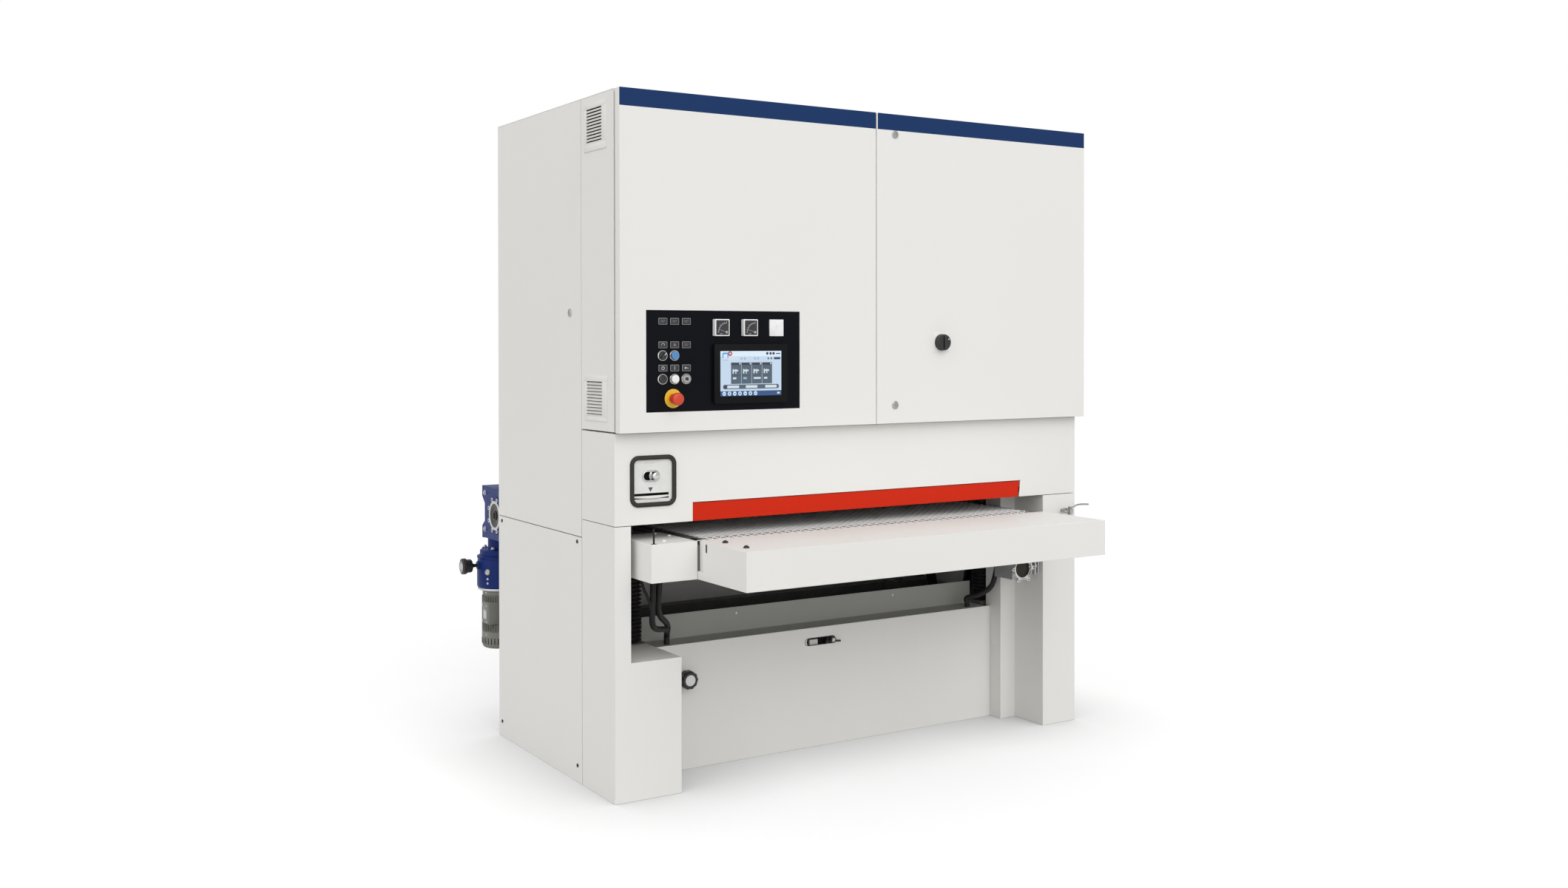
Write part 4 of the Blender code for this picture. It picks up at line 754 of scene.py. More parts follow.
def cap_screw(radius, height):
    """A socket cap screw head, its face along +Z."""
    screw = Shape()
    screw.turned([(0, -0.001), (radius, -0.001), (radius, height * 0.75), (radius * 0.86, height),
                  (radius * 0.5, height), (radius * 0.5, height * 0.45), (0, height * 0.45)], (0, 0, 0), UP, 12)
    return screw


def hexagon_bolt(across, height):
    """A hexagon bolt head on its washer, its face along +Z."""
    bolt = Shape()
    bolt.turned([(0, -0.001), (across * 0.72, -0.001), (across * 0.72, height * 0.2), (0, height * 0.2)], (0, 0, 0),
                UP, 20)
    bolt.turned([(0, 0), (across * 0.5, 0), (across * 0.5, height * 0.9), (across * 0.42, height), (0, height)],
                (0, 0, 0), UP, 6)
    return bolt


LOCK_CORE = ((0, -0.012), (0.0092, -0.012), (0.0092, 0.0024), (0.0084, 0.0032), (0.0048, 0.0032), (0.0042, 0.0004),
             (0, 0.0004))
LOCK_RING = ((0.0095, -0.001), (0.0145, -0.001), (0.0145, 0.0012), (0.0125, 0.0026), (0.0098, 0.0026))


def door_lock(node, name, door_body, place, way, blade, cam):
    """A lock's core with its blade and cam, and the ring that stays with the door."""
    core = Shape().turned(LOCK_CORE, place, way, 32).block(*blade, 0.0004).block(*cam, 0.001)
    made(f"{name}_core", core, f"{node}_body", "steel", [node])
    made(f"{name}_escutcheon", Shape().turned(LOCK_RING, place, way, 40), door_body, "steel")


def door_fittings():
    """Locks on the right-hand and side doors, and the main switch."""
    for node in ("upper_door_lock", "lower_door_lock"):
        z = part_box(node)[1].z - 0.011
        door_lock(node, node, "right_door_body", (1.049, DOOR_Y, z), FRONT,
                  ((1.0476, DOOR_Y - 0.0030, z - 0.0036), (1.0504, DOOR_Y, z + 0.0036)),
                  ((1.043, DOOR_Y + 0.010, z - 0.020), (1.055, DOOR_Y + 0.014, z + 0.006)))
    door_lock("side_door_lock", "side_lock", "side_door_body", (0, 0.336, 1.531), LEFT,
              ((-0.0030, 0.3346, 1.5274), (0, 0.3374, 1.5346)), ((0.010, 0.330, 1.511), (0.014, 0.342, 1.537)))
    x, z = 1.250, 1.433
    boxed("main_switch_plate", (x - 0.034, DOOR_Y - 0.0016, z - 0.034), (x + 0.034, DOOR_Y, z + 0.034), 0.0007,
          "right_door_body", "coat")
    lathed("main_switch_rim", [(0.009, 0.0016), (0.0290, 0.0016), (0.0290, 0.0080), (0.0275, 0.0092),
                               (0.009, 0.0092)], (x, DOOR_Y, z), FRONT, 56, "right_door_body", "black")
    knob = Shape()
    knob.turned([(0, -0.015), (0.0078, -0.015), (0.0078, 0.0096), (0.0280, 0.0096), (0.0284, 0.0190),
                 (0.0262, 0.0226), (0.0150, 0.0240), (0, 0.0242)], (x, DOOR_Y, z), FRONT, 56)
    knob.block((x - 0.0050, DOOR_Y - 0.0300, z - 0.0225), (x + 0.0050, DOOR_Y - 0.0220, z + 0.0225), 0.0026, 3)
    made("main_switch_grip", knob, "main_switch_knob_body", "black", ["main_switch_knob"])
    mark = Shape()
    mark.rod((x + 0.0165, DOOR_Y - 0.0230, z + 0.0110), FRONT, 0.0014, 0.0024, 16, 0.0003)
    made("main_switch_pointer", mark, "main_switch_knob_body", "white")


# Control panel.

def control_panel():
    softened("control_panel", "panel_overlay", "panel", 0.0005)
    face = PANEL_Y
    plates = Shape()
    marks = Print(face - 0.0011)
    white, dark, soft = (0.75, 0.75, 0.75), (0.012, 0.012, 0.016), (0.30, 0.31, 0.33)
    for row, z in enumerate((1.5003, 1.4266, 1.3537)):
        for column, x in enumerate((0.1497, 0.1912, 0.2328)):
            outline = rounded_outline(x - 0.0152, x + 0.0152, z - 0.0102, z + 0.0102, 0.0016, 3)
            plates.plate([(a - x, b - z) for a, b in outline], (x, face, z), RIGHT, UP, 0.0010, 0.0003)
            marks.rectangle(x - 0.0141, x + 0.0141, z - 0.0091, z + 0.0091, dark)
            if (row, column) == (1, 0):
                marks.stroke(arc(x, z, 0.0052, 200, -20), 0.0009, white, 1)
                marks.patch([(x + 0.0062, z + 0.0004), (x + 0.0030, z + 0.0004), (x + 0.0048, z - 0.0032)], white, 1)
            elif (row, column) == (1, 1):
                marks.stroke([(x - 0.006, z - 0.003), (x + 0.006, z - 0.003)], 0.0012, soft, 1)
                marks.patch([(x - 0.0035, z), (x + 0.0035, z), (x, z + 0.0050)], soft, 1)
            elif (row, column) == (2, 0):
                marks.stroke(arc(x, z, 0.0050, 115, 425), 0.0011, white, 1)
                marks.stroke([(x, z + 0.001), (x, z + 0.0062)], 0.0011, white, 1)
            elif (row, column) == (2, 1):
                marks.stroke([(x, z - 0.0055), (x, z + 0.0055)], 0.0014, white, 1)
            elif (row, column) == (2, 2):
                marks.disc(x - 0.0035, z, 0.0030, white, 1)
                marks.disc(x - 0.0035, z, 0.0014, dark, 2)
                marks.stroke([(x - 0.0010, z), (x + 0.0062, z)], 0.0010, white, 1)
                marks.stroke([(x + 0.0052, z), (x + 0.0052, z - 0.0026)], 0.0010, white, 1)
            else:
                marks.stroke([(x - 0.0075, z + 0.0022), (x + 0.0075, z + 0.0022)], 0.0007, soft, 1)
                marks.stroke([(x - 0.0075, z - 0.0018), (x + 0.0040, z - 0.0018)], 0.0007, soft, 1)
    made("label_plates", plates, "left_door_body", "grey")
    made("label_marks", marks, "left_door_body", "ink")
    selector, lock = (0.148, face, 1.393), (0.2315, face, 1.319)
    buttons = (("selector_knob", selector, "gloss", 0.0080),
               ("blue_button", (0.190, face, 1.393), "blue_lens", 0.0108),
               ("black_button", (0.148, face, 1.319), "gloss", 0.0092),
               ("white_button", (0.190, face, 1.319), "white", 0.0108))
    rings = Shape()
    for place in (*(button[1] for button in buttons), lock):
        rings.turned([(0.0136, 0), (0.0172, 0), (0.0172, 0.0022), (0.0160, 0.0040), (0.0142, 0.0040),
                      (0.0136, 0.0030)], place, FRONT, 48)
    made("button_bezels", rings, "left_door_body", "chrome")
    for button in buttons:
        push_button(*button)
    turn = math.radians(38)
    grip = Shape()
    grip.block((-0.0038, -0.0162, -0.0124), (0.0038, -0.0078, 0.0124), 0.0022, 3)
    turn_about(grip, selector, turn)
    made("selector_grip", grip, "selector_knob_body", "gloss")
    pointer = Shape()
    pointer.block((-0.0010, -0.0166, 0.0015), (0.0010, -0.0160, 0.0116), 0.0002)
    turn_about(pointer, selector, turn)
    made("selector_pointer", pointer, "selector_knob_body", "white")
    lathed("key_barrel", [(0, -0.018), (0.0098, -0.018), (0.0098, 0), (0.0128, 0.0006), (0.0128, 0.0052),
                          (0.0116, 0.0064), (0.0066, 0.0064), (0.0062, 0.0050), (0, 0.0050)], lock, FRONT, 40,
           "key_switch_body", "steel", ["key_switch"])
    slot = Shape()
    x, _, z = lock
    slot.block((x - 0.0011, face - 0.0160, z - 0.0050), (x + 0.0011, face - 0.0046, z + 0.0050), 0.0004)
    slot.rod((x - 0.0012, face - 0.0116, z), RIGHT, 0.0024, 0.0048, 28, 0.0004)
    made("key_bow", slot, "key_switch_body", "black")
    x, z = 0.1857, 1.258
    lathed("stop_button_backing", [(0.0115, 0), (0.0300, 0), (0.0300, 0.0009), (0.0294, 0.0014), (0.0115, 0.0014)],
           (x, face, z), FRONT, 64, "left_door_body", "yellow")
    lathed("stop_button_collar", [(0.0112, 0.0014), (0.0150, 0.0014), (0.0150, 0.0110), (0.0140, 0.0128),
                                  (0.0112, 0.0128)], (x, face, z), FRONT, 48, "left_door_body", "red_knob")
    lathed("stop_button_mushroom", [(0, -0.019), (0.0095, -0.019), (0.0095, 0.0198), (0.0150, 0.0204),
                                    (0.0158, 0.0262), (0.0188, 0.0284), (0.0200, 0.0312), (0.0200, 0.0372),
                                    (0.0184, 0.0408), (0.0140, 0.0432), (0.0070, 0.0439), (0, 0.0440)],
           (x - 0.0017, face, z - 0.0005), FRONT, 64, "stop_button_body", "red_knob", ["stop_button"])
    gauges(face)
    monitor()


def turn_about(shape, place, angle):
    """Turns a shape made round the origin about the front axis, then moves it into place."""
    bmesh.ops.transform(shape.bm, verts=shape.bm.verts[:],
                        matrix=Matrix.Translation(place) @ Matrix.Rotation(angle, 4, "Y"))


def push_button(node, place, finish, proud):
    lathed(f"{node}_cap", [(0, -0.018), (0.0098, -0.018), (0.0098, 0.0046), (0.0130, 0.0050),
                           (0.0130, proud - 0.0016), (0.0120, proud - 0.0004), (0.0100, proud), (0, proud + 0.0002)],
           place, FRONT, 48, f"{node}_body", finish, [node])


def gauges(face):
    """Two needle meters and a blank cover in a row, each in a square housing."""
    housing = Shape()
    marks = Print(face - 0.0172, 0.00015)
    dark, white, faint = (0.015, 0.015, 0.020), (0.72, 0.72, 0.70), (0.40, 0.40, 0.38)
    low, high, sweep = 1.4542, 1.5085, 0.0290
    for left in (0.3284, 0.4345):
        right = left + 0.0531
        outline = rounded_outline(left, right, low, high, 0.0030, 4)
        housing.plate(outline, (0, face, 0), RIGHT, UP, 0.0167, 0.0012)
        marks.patch(rounded_outline(left + 0.0035, right - 0.0035, low + 0.0035, high - 0.0035, 0.0020, 3), dark)
        cx, cz = right - 0.0115, low + 0.0125
        marks.stroke(arc(cx, cz, sweep, 90, 180, 14), 0.0009, white, 1)
        for step in range(7):
            angle = math.radians(90 + 15 * step)
            reach = 0.0345 if step % 3 == 0 else 0.0325
            marks.stroke([(cx + sweep * math.cos(angle), cz + sweep * math.sin(angle)),
                          (cx + reach * math.cos(angle), cz + reach * math.sin(angle))], 0.0008, white, 2)
        marks.stroke([(cx, cz), (cx - 0.0255, cz + 0.0085)], 0.0009, faint, 3)
        marks.disc(cx, cz, 0.0042, faint, 4)
        marks.stroke([(left + 0.018, low + 0.0075), (left + 0.026, low + 0.0075)], 0.0010, white, 2)
    blank = rounded_outline(0.5399, 0.5930, low, high, 0.0020, 3)
    housing.plate(blank, (0, face, 0), RIGHT, UP, 0.0040, 0.0008)
    made("meter_housings", housing, "left_door_body", "white")
    made("meter_faces", marks, "left_door_body", "ink")
    spot = Print(face - 0.0042)
    spot.stroke([(0.5648, 1.4872), (0.5682, 1.4872)], 0.0016, faint)
    spot.rectangle(0.5657, 0.5673, 1.4800, 1.4816, faint)
    made("blank_cover_mark", spot, "left_door_body", "ink")


def monitor():
    """The touch screen in its bezel, showing a plain page of tiles."""
    low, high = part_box("touch_screen")
    left, right = low.x - CORNER.x, high.x - CORNER.x
    bottom, top, face = low.z, high.z, low.y - CORNER.y
    bezel = Shape()
    seat = PANEL_Y - 0.0003
    bezel.plate(rounded_outline(left, right, bottom, top, 0.0075, 6), (0, seat, 0), RIGHT, UP,
                seat - face - 0.0004, 0.0016)
    made("monitor_bezel", bezel, "left_door_body", "bezel", ["touch_screen"])
    rim = Shape()
    inner = rounded_outline(0.3492 - 0.0016, 0.5783 + 0.0016, 1.2615 - 0.0016, 1.4060 + 0.0016, 0.0020, 3)
    rim.tube([(x, face + 0.0004, z) for x, z in inner], 0.0005, 8, closed=True)
    made("monitor_rim", rim, "left_door_body", "bezel")
    page = Print(face + 0.0001, 0.00008)
    back, slate, dark = (0.52, 0.65, 0.80), (0.060, 0.095, 0.135), (0.014, 0.024, 0.045)
    light, blue, red, pale = (0.62, 0.70, 0.76), (0.008, 0.060, 0.200), (0.42, 0.02, 0.02), (0.68, 0.80, 0.90)
    left, low, wide, tall = 0.3492, 1.2615, 0.2291, 0.1445

    def spot(u, v):
        return left + wide * u, low + tall * v

    def box(u0, u1, v0, v1, colour, level, corner=0.0):
        (x0, z0), (x1, z1) = spot(u0, v0), spot(u1, v1)
        page.patch(rounded_outline(x0, x1, z0, z1, corner, 3) if corner else [(x0, z0), (x1, z0), (x1, z1), (x0, z1)],
                   colour, level)

    box(0, 1, 0, 1, back, 0)
    box(0, 1, 0.88, 1, pale, 1)
    box(0.03, 0.13, 0.80, 0.97, (0.10, 0.35, 0.70), 2, 0.0040)
    box(0.05, 0.11, 0.86, 0.93, pale, 3, 0.0015)
    page.disc(*spot(0.155, 0.945), 0.0078, red, 2)
    page.disc(*spot(0.155, 0.945), 0.0034, light, 3)
    for u in (0.765, 0.82, 0.87):
        page.disc(*spot(u, 0.945), 0.0046, dark, 2)
    box(0.91, 0.985, 0.93, 0.955, slate, 2)
    box(0.03, 0.28, 0.81, 0.855, light, 4, 0.0030)
    for u in (0.33, 0.38, 0.55, 0.60, 0.77, 0.82):
        box(u, u + 0.025, 0.81, 0.855, slate if u > 0.7 else (0.30, 0.42, 0.55), 2, 0.0015)
    box(0.875, 0.985, 0.81, 0.86, (0.010, 0.020, 0.090), 2, 0.0025)
    for index in range(4):
        u = 0.170 + index * 0.170
        box(u, u + 0.165, 0.27, 0.745, slate, 1)
        box(u, u + 0.165, 0.69, 0.745, dark, 2)
        box(u + 0.135, u + 0.155, 0.70, 0.735, light, 3)
        box(u + 0.025, u + 0.115, 0.55, 0.585, light, 2)
        box(u + 0.025, u + 0.045, 0.50, 0.60, light, 2)
        box(u + 0.070, u + 0.085, 0.50, 0.60, light, 2)
        box(u + 0.030, u + (0.145 if index == 2 else 0.085), 0.375, 0.415,
            (0.25, 0.52, 0.75) if index == 1 else light, 2)
        box(u + 0.015, u + 0.150, 0.455, 0.462, dark, 2)
    box(0.04, 0.96, 0.155, 0.255, slate, 1, 0.0060)
    for u0, u1 in ((0.06, 0.10), (0.11, 0.30), (0.41, 0.60), (0.73, 0.92)):
        box(u0, u1, 0.175, 0.235, light if u1 > 0.2 else dark, 2, 0.0012)
    box(0, 1, 0, 0.112, blue, 1)
    for index in range(7):
        u, v = 0.060 + index * 0.085, 0.056
        page.disc(*spot(u, v), 0.0066, pale, 2)
        box(u - 0.016, u + 0.016, v - 0.014, v + 0.012, (0.10, 0.30, 0.55), 3)
        if index % 2:
            box(u - 0.006, u + 0.006, v - 0.032, v + 0.032, (0.10, 0.30, 0.55), 3)
    box(0.93, 0.975, 0.035, 0.075, light, 2)
    made("monitor_page", page, "left_door_body", "screen")


# Gauge window of the hood.

def gauge_window():
    softened("gauge_plate", "gauge_plate_face", "gauge", 0.0006)
    path = rounded_outline(0.0590, 0.2072, 0.9252, 1.0730, 0.0220, 10)
    trim = Shape()
    trim.tube([(x, -0.0012, z) for x, z in path], 0.0072, 18, closed=True)
    made("window_trim", trim, "frame_body", "trim")
    rim = Shape()
    oval = rounded_outline(0.0982, 0.1550, 0.9995, 1.0303, 0.0153, 10)
    rim.tube([(x, 0.0018, z) for x, z in oval], 0.0030, 12, closed=True)
    made("oval_rim", rim, "frame_body", "chrome")
    # A near-black sheet behind the oval and a strip under the tongue: painted shade of the recess and the slot.
    hollow = Shape()
    hollow.plate(rounded_outline(0.0975, 0.1560, 0.9990, 1.0308, 0.0155, 10), (0, 0.0215, 0), RIGHT, UP,
                 0.0015)
    hollow.block((0.0650, 0.0200, 0.9400), (0.1910, 0.0215, 0.9640))
    made("window_hollow", hollow, "frame_body", "hollow")
    lathed("gauge_slider_button", [(0, -0.014), (0.0172, -0.014), (0.0172, -0.0082), (0.0128, -0.0082),
                                   (0.0128, 0.0060), (0.0112, 0.0084), (0.0070, 0.0098), (0, 0.0102)],
           (0.1405, 0, 1.0145), FRONT, 48, "gauge_slider_body", "chrome", ["gauge_slider"])
    marks = Print(0.00215)
    ink, faint = (0.06, 0.06, 0.055), (0.30, 0.30, 0.29)
    marks.patch([(0.1165, 0.9790), (0.1335, 0.9790), (0.1250, 0.9650)], ink)
    for x in (0.1040, 0.1130, 0.1250, 0.1340):
        marks.stroke([(x, 1.0560), (x + 0.0060, 1.0560)], 0.0011, faint)
    marks.stroke([(0.1215, 1.0470), (0.1285, 1.0470)], 0.0009, faint)
    for step in range(9):
        x = 0.1090 + step * 0.0040
        marks.stroke([(x, 0.9880), (x, 0.9900 if step % 4 else 0.9915)], 0.0005, faint)
    made("gauge_marks", marks, "frame_body", "ink")
    tongue = Shape()
    waves = [(step / 16, math.sin(math.pi * step / 16)) for step in range(17)]
    tongue.tube([(0.0660 + 0.1235 * t, 0.0060 - 0.0050 * wave, 0.9500 - 0.0022 * wave) for t, wave in waves],
                [0.0030 + 0.0022 * wave for _, wave in waves], 16)
    made("gauge_tongue", tongue, "frame_body", "gauge")
    screws = [((x, 0.0020, z), FRONT) for x in (0.0700, 0.1960) for z in (0.9370, 1.0620)]
    repeated("gauge_plate_screws", cap_screw(0.0022, 0.0010), screws, "frame_body", "steel")


# Ventilation grilles in the cabinet's sides.

def grilles(looks):
    slats, opening = looks.slats, 0.1120
    for side, x, out in (("left", 0.0, -1.0), ("right", BODY_WIDTH, 1.0)):
        frames, shade_sheets = Shape(), Shape()
        for low, high, near, far, hole in ((2.0425, 2.1940, 0.0550, 0.2170, 2.0660),
                                           (1.1850, 1.3280, 0.0522, 0.2158, 1.1985)):
            hole_top = hole + opening
            a, b = sorted((x, x + out * 0.0026))
            for y0, y1, z0, z1 in ((near, far, hole_top, high), (near, far, low, hole),
                                   (near, 0.0868, hole, hole_top), (0.2017, far, hole, hole_top)):
                frames.block((a, y0, z0), (b, y1, z1), 0.0005)
            # Near-black sheets behind the slats: painted shade inside the grilles.
            c, d = sorted((x - out * 0.016, x - out * 0.018))
            shade_sheets.block((c, 0.0800, hole - 0.006), (d, 0.2090, hole_top + 0.006))
            pitch = opening / slats
            empty = bpy.data.meshes.new("empty")
            mesh = run_tree(TREES["row"], empty, {
                "Count": slats, "Start": CORNER + Vector((x - out * 0.0022, 0.14425, hole + pitch * 0.36)),
                "Step": Vector((0, 0, pitch)), "Bar Size": Vector((0.0085, 0.1149, pitch * 0.52)),
                "Lean": Euler((0, out * math.radians(24), 0)), "Finish": F["coat"]})
            finished(f"{side}_slats_{hole:.0f}", mesh, "frame_body", None)
        made(f"{side}_grille_frames", frames, "frame_body", "coat")
        made(f"{side}_grille_backs", shade_sheets, "frame_body", "hollow")


# Feed table, its belt and what sits on it.

def belt_route():
    """(y, z, angle) stations round the feed belt's outer face with their distances; angle is the outward way."""
    low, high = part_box("feed_belt")
    radius = (high.z - low.z) / 2
    front, back = low.y - CORNER.y + radius, high.y - CORNER.y - radius
    middle = (high.z + low.z) / 2
    flat = back - front
    arcs = math.pi * radius

    def station(distance):
        distance %= 2 * (flat + arcs)
        if distance < flat:
            return front + distance, middle + radius, 90.0
        distance -= flat
        if distance < arcs:
            turn = distance / radius
            return back + radius * math.sin(turn), middle + radius * math.cos(turn), 90 - math.degrees(turn)
        distance -= arcs
        if distance < flat:
            return back - distance, middle - radius, -90.0
        turn = (distance - flat) / radius
        return front - radius * math.sin(turn), middle - radius * math.cos(turn), -90 - math.degrees(turn)

    return station, 2 * (flat + arcs)


def feed_belt(looks):
    softened("feed_belt", "feed_belt_web", "belt", 0.0006)
    for node in ("drive_roller", "idle_roller"):
        softened(node, f"{node}_surface", "steel", 0.001)
    station, length = belt_route()
    low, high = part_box("feed_belt")
    left, right, margin = low.x - CORNER.x, high.x - CORNER.x, 0.002
    rows = 2 * round(length / looks.rib_pitch)
    columns = int((right - left - 2 * margin) / looks.rib_pitch)
    step = (right - left - 2 * margin) / columns
    rib = Shape()
    reach, thick, tall = length / rows / 2, looks.rib_pitch * 0.105, 0.0017
    section = ((-thick, 0), (-thick / 3, tall), (thick / 3, tall), (thick, 0))
    for side in (-1, 1):
        tip = [rib.bm.verts.new((d, -reach, h)) for d, h in section]
        end = [rib.bm.verts.new((side * step / 2 + d, reach, h)) for d, h in section]
        for i in range(3):
            rib.bm.faces.new((tip[i], tip[i + 1], end[i + 1], end[i])[::-1])
    spots = []
    for row in range(rows):
        y, z, angle = station(row * length / rows)
        turn = Quaternion(RIGHT, math.radians(angle - 90))
        for column in range(columns - row % 2):
            spots.append(((left + margin + step * (column + 0.5 + row % 2 / 2), y, z - 0.0001), turn))
    repeated("feed_belt_ribs", rib, spots, "table_body", "rib", sharp=60)


def table_fittings():
    """Plugs, screws and strips on the infeed shelf, and the lift rod's end in the side box."""
    plugs = Shape()
    for x, y in ((0.286, -0.188), (0.284, -0.319)):
        plugs.turned([(0, -0.001), (0.0095, -0.001), (0.0095, 0.0020), (0.0070, 0.0060), (0.0030, 0.0082),
                      (0, 0.0085)], (x, y, 0.8144), UP, 32)
    plugs.block((0.2350, -0.1636, 0.7836), (0.2362, -0.1546, 0.8092), 0.0003)
    made("shelf_plugs", plugs, "table_body", "black")
    boxed("shelf_strips", (0.2350, -0.1026, 0.8146), (1.6857, -0.0920, 0.8152), 0.0002, "table_body", "coat")
    screws = [((0.217, 0.054, 0.8140), UP), ((0.147, -0.047, 0.8140), UP), ((0.200, 0.120, 0.8140), UP)]
    repeated("side_box_screws", cap_screw(0.0060, 0.0040), screws, "table_body", "white")
    rod = Shape()
    rod.rod((0.0904, -0.0871, 0.7500), UP, 0.1100, 0.0030, 24, 0.0008)
    made("height_stop_rod", rod, "table_body", "rubber")
    # A near-black sheet inside the rod's hole: painted shade.
    boxed("stop_rod_well", (0.0775, -0.0995, 0.8060), (0.1035, -0.0745, 0.8075), 0, "table_body", "hollow")
    spots = [((x, y, z), way) for x, way in ((0.2354, LEFT), (1.6857, -LEFT)) for y in (0.22, 0.62, 1.02)
             for z in (0.72, 0.78)]
    repeated("table_bolts", hexagon_bolt(0.013, 0.007), spots, "table_body", "steel")


def lift_parts(looks):
    """Bellows round the front lift screws, the hoses and the lugged ring of the lift gearbox."""
    low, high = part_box("left_bellows")
    bottom, top = low.z, high.z
    folds = looks.bellows_folds
    pitch = (top - bottom) / folds
    for node in ("left_bellows", "right_bellows"):
        low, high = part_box(node)
        x, y = (low.x + high.x) / 2 - CORNER.x, (low.y + high.y) / 2 - CORNER.y
        profile = [(0.030, bottom), (0.036, bottom)]
        for fold in range(folds):
            z = bottom + fold * pitch
            profile += [(0.0362, z + pitch * 0.10), (0.0445, z + pitch * 0.45), (0.0445, z + pitch * 0.55),
                        (0.0362, z + pitch * 0.90)]
        profile += [(0.036, top), (0.030, top)]
        sleeve = Shape()
        sleeve.turned(profile, (x, y, 0), UP, 48)
        item = made(f"{node}_folds", sleeve, None, "rubber", [node])
        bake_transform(item)
    hoses = (("left_hoses", 0.4332, 0.8114, (
        [(0.158, 0.050, 0.8110), (0.158, 0.050, 0.690), (0.157, 0.050, 0.620), (0.157, 0.056, 0.562),
         (0.170, 0.074, 0.526), (0.206, 0.112, 0.506), (0.252, 0.160, 0.493), (0.290, 0.208, 0.477),
         (0.305, 0.238, 0.457), (0.307, 0.244, 0.438), (0.307, 0.244, 0.4235)],
        [(0.184, 0.056, 0.8110), (0.184, 0.056, 0.690), (0.182, 0.057, 0.630), (0.187, 0.071, 0.580),
         (0.216, 0.108, 0.545), (0.260, 0.158, 0.515), (0.294, 0.210, 0.486), (0.305, 0.238, 0.460),
         (0.307, 0.244, 0.438), (0.307, 0.244, 0.4235)])),
        ("right_hose", 0.4232, 0.6994, (
            [(1.678, 0.150, 0.6992), (1.678, 0.150, 0.650), (1.672, 0.156, 0.585), (1.660, 0.172, 0.510),
             (1.630, 0.205, 0.474), (1.602, 0.248, 0.456), (1.602, 0.248, 0.438), (1.602, 0.248, 0.4235)],)))
    for node, low_end, high_end, routes in hoses:
        hose = Shape()
        for route in routes:
            hose.tube(smooth_route(route, 8), 0.0097, 20)
        item = made(f"{node}_jackets", hose, None, "rubber", [node])
        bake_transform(item)
    cable = Shape()
    cable.tube(smooth_route([(0.112, 0.058, 0.6920), (0.128, 0.054, 0.6500), (0.146, 0.050, 0.6050),
                             (0.152, 0.050, 0.5700)], 6), 0.0048, 14)
    item = made("limit_switch_cable", cable, None, "rubber")
    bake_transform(item)
    softened("lift_gearbox", "lift_gearbox_casting", "cast", 0.002)
    centre = Vector((1.681, 0.020, 0.5916))
    ring = Shape()
    ring.turned([(0.0385, -0.004), (0.0430, -0.004), (0.0430, 0.0050), (0.0415, 0.0065), (0.0395, 0.0065),
                 (0.0385, 0.0050)], centre, FRONT, 64)
    lugs(ring, centre, FRONT, 0.0485, 6, 0.0072, 0.0036, 0.0065, math.radians(-60))
    made("lift_gearbox_ring", ring, "table_body", "chrome")
    # The recess is near-black metal: painted shade of the hollow.
    lathed("lift_gearbox_recess", [(0, -0.010), (0.0386, -0.010), (0.0386, -0.0060), (0.0200, -0.0030), (0, -0.0030)],
           centre, FRONT, 48, "table_body", "dull")
    plates = Shape()
    for x, z0, z1 in ((1.7330, 0.5660, 0.6440), (1.7480, 0.5690, 0.6440)):
        plates.block((x, 0.0100, z0), (x + 0.0040, 0.0340, z1), 0.0010)
        plates.block((x - 0.002, 0.0090, z1 - 0.004), (x + 0.0060, 0.0350, z1), 0.0010)
    plates.rod((1.7100, 0.0210, 0.5960), RIGHT, 0.0440, 0.0042, 24, 0.0008)
    plates.turned([(0, 0), (0.0100, 0), (0.0100, 0.0070), (0, 0.0070)], (1.7160, 0.0210, 0.5960), RIGHT, 6)
    plates.turned([(0, 0), (0.0080, 0), (0.0080, 0.0055), (0, 0.0055)], (1.7400, 0.0210, 0.5960), RIGHT, 6)
    made("brake_clamp_plates", plates, "table_body", "cast")


def lugs(shape, centre, axis, reach, count, radius, bore, height, first=0.0):
    """Small bored ears round a centre."""
    turn = Vector(axis).to_track_quat("Z", "Y")
    for index in range(count):
        angle = first + 2 * math.pi * index / count
        place = Vector(centre) + turn @ Vector((reach * math.cos(angle), reach * math.sin(angle), 0))
        shape.turned([(bore, 0), (radius, 0), (radius, height * 0.8), (radius * 0.9, height), (bore, height)], place,
                     axis, 20)


# Feed drive at the table's back left corner.

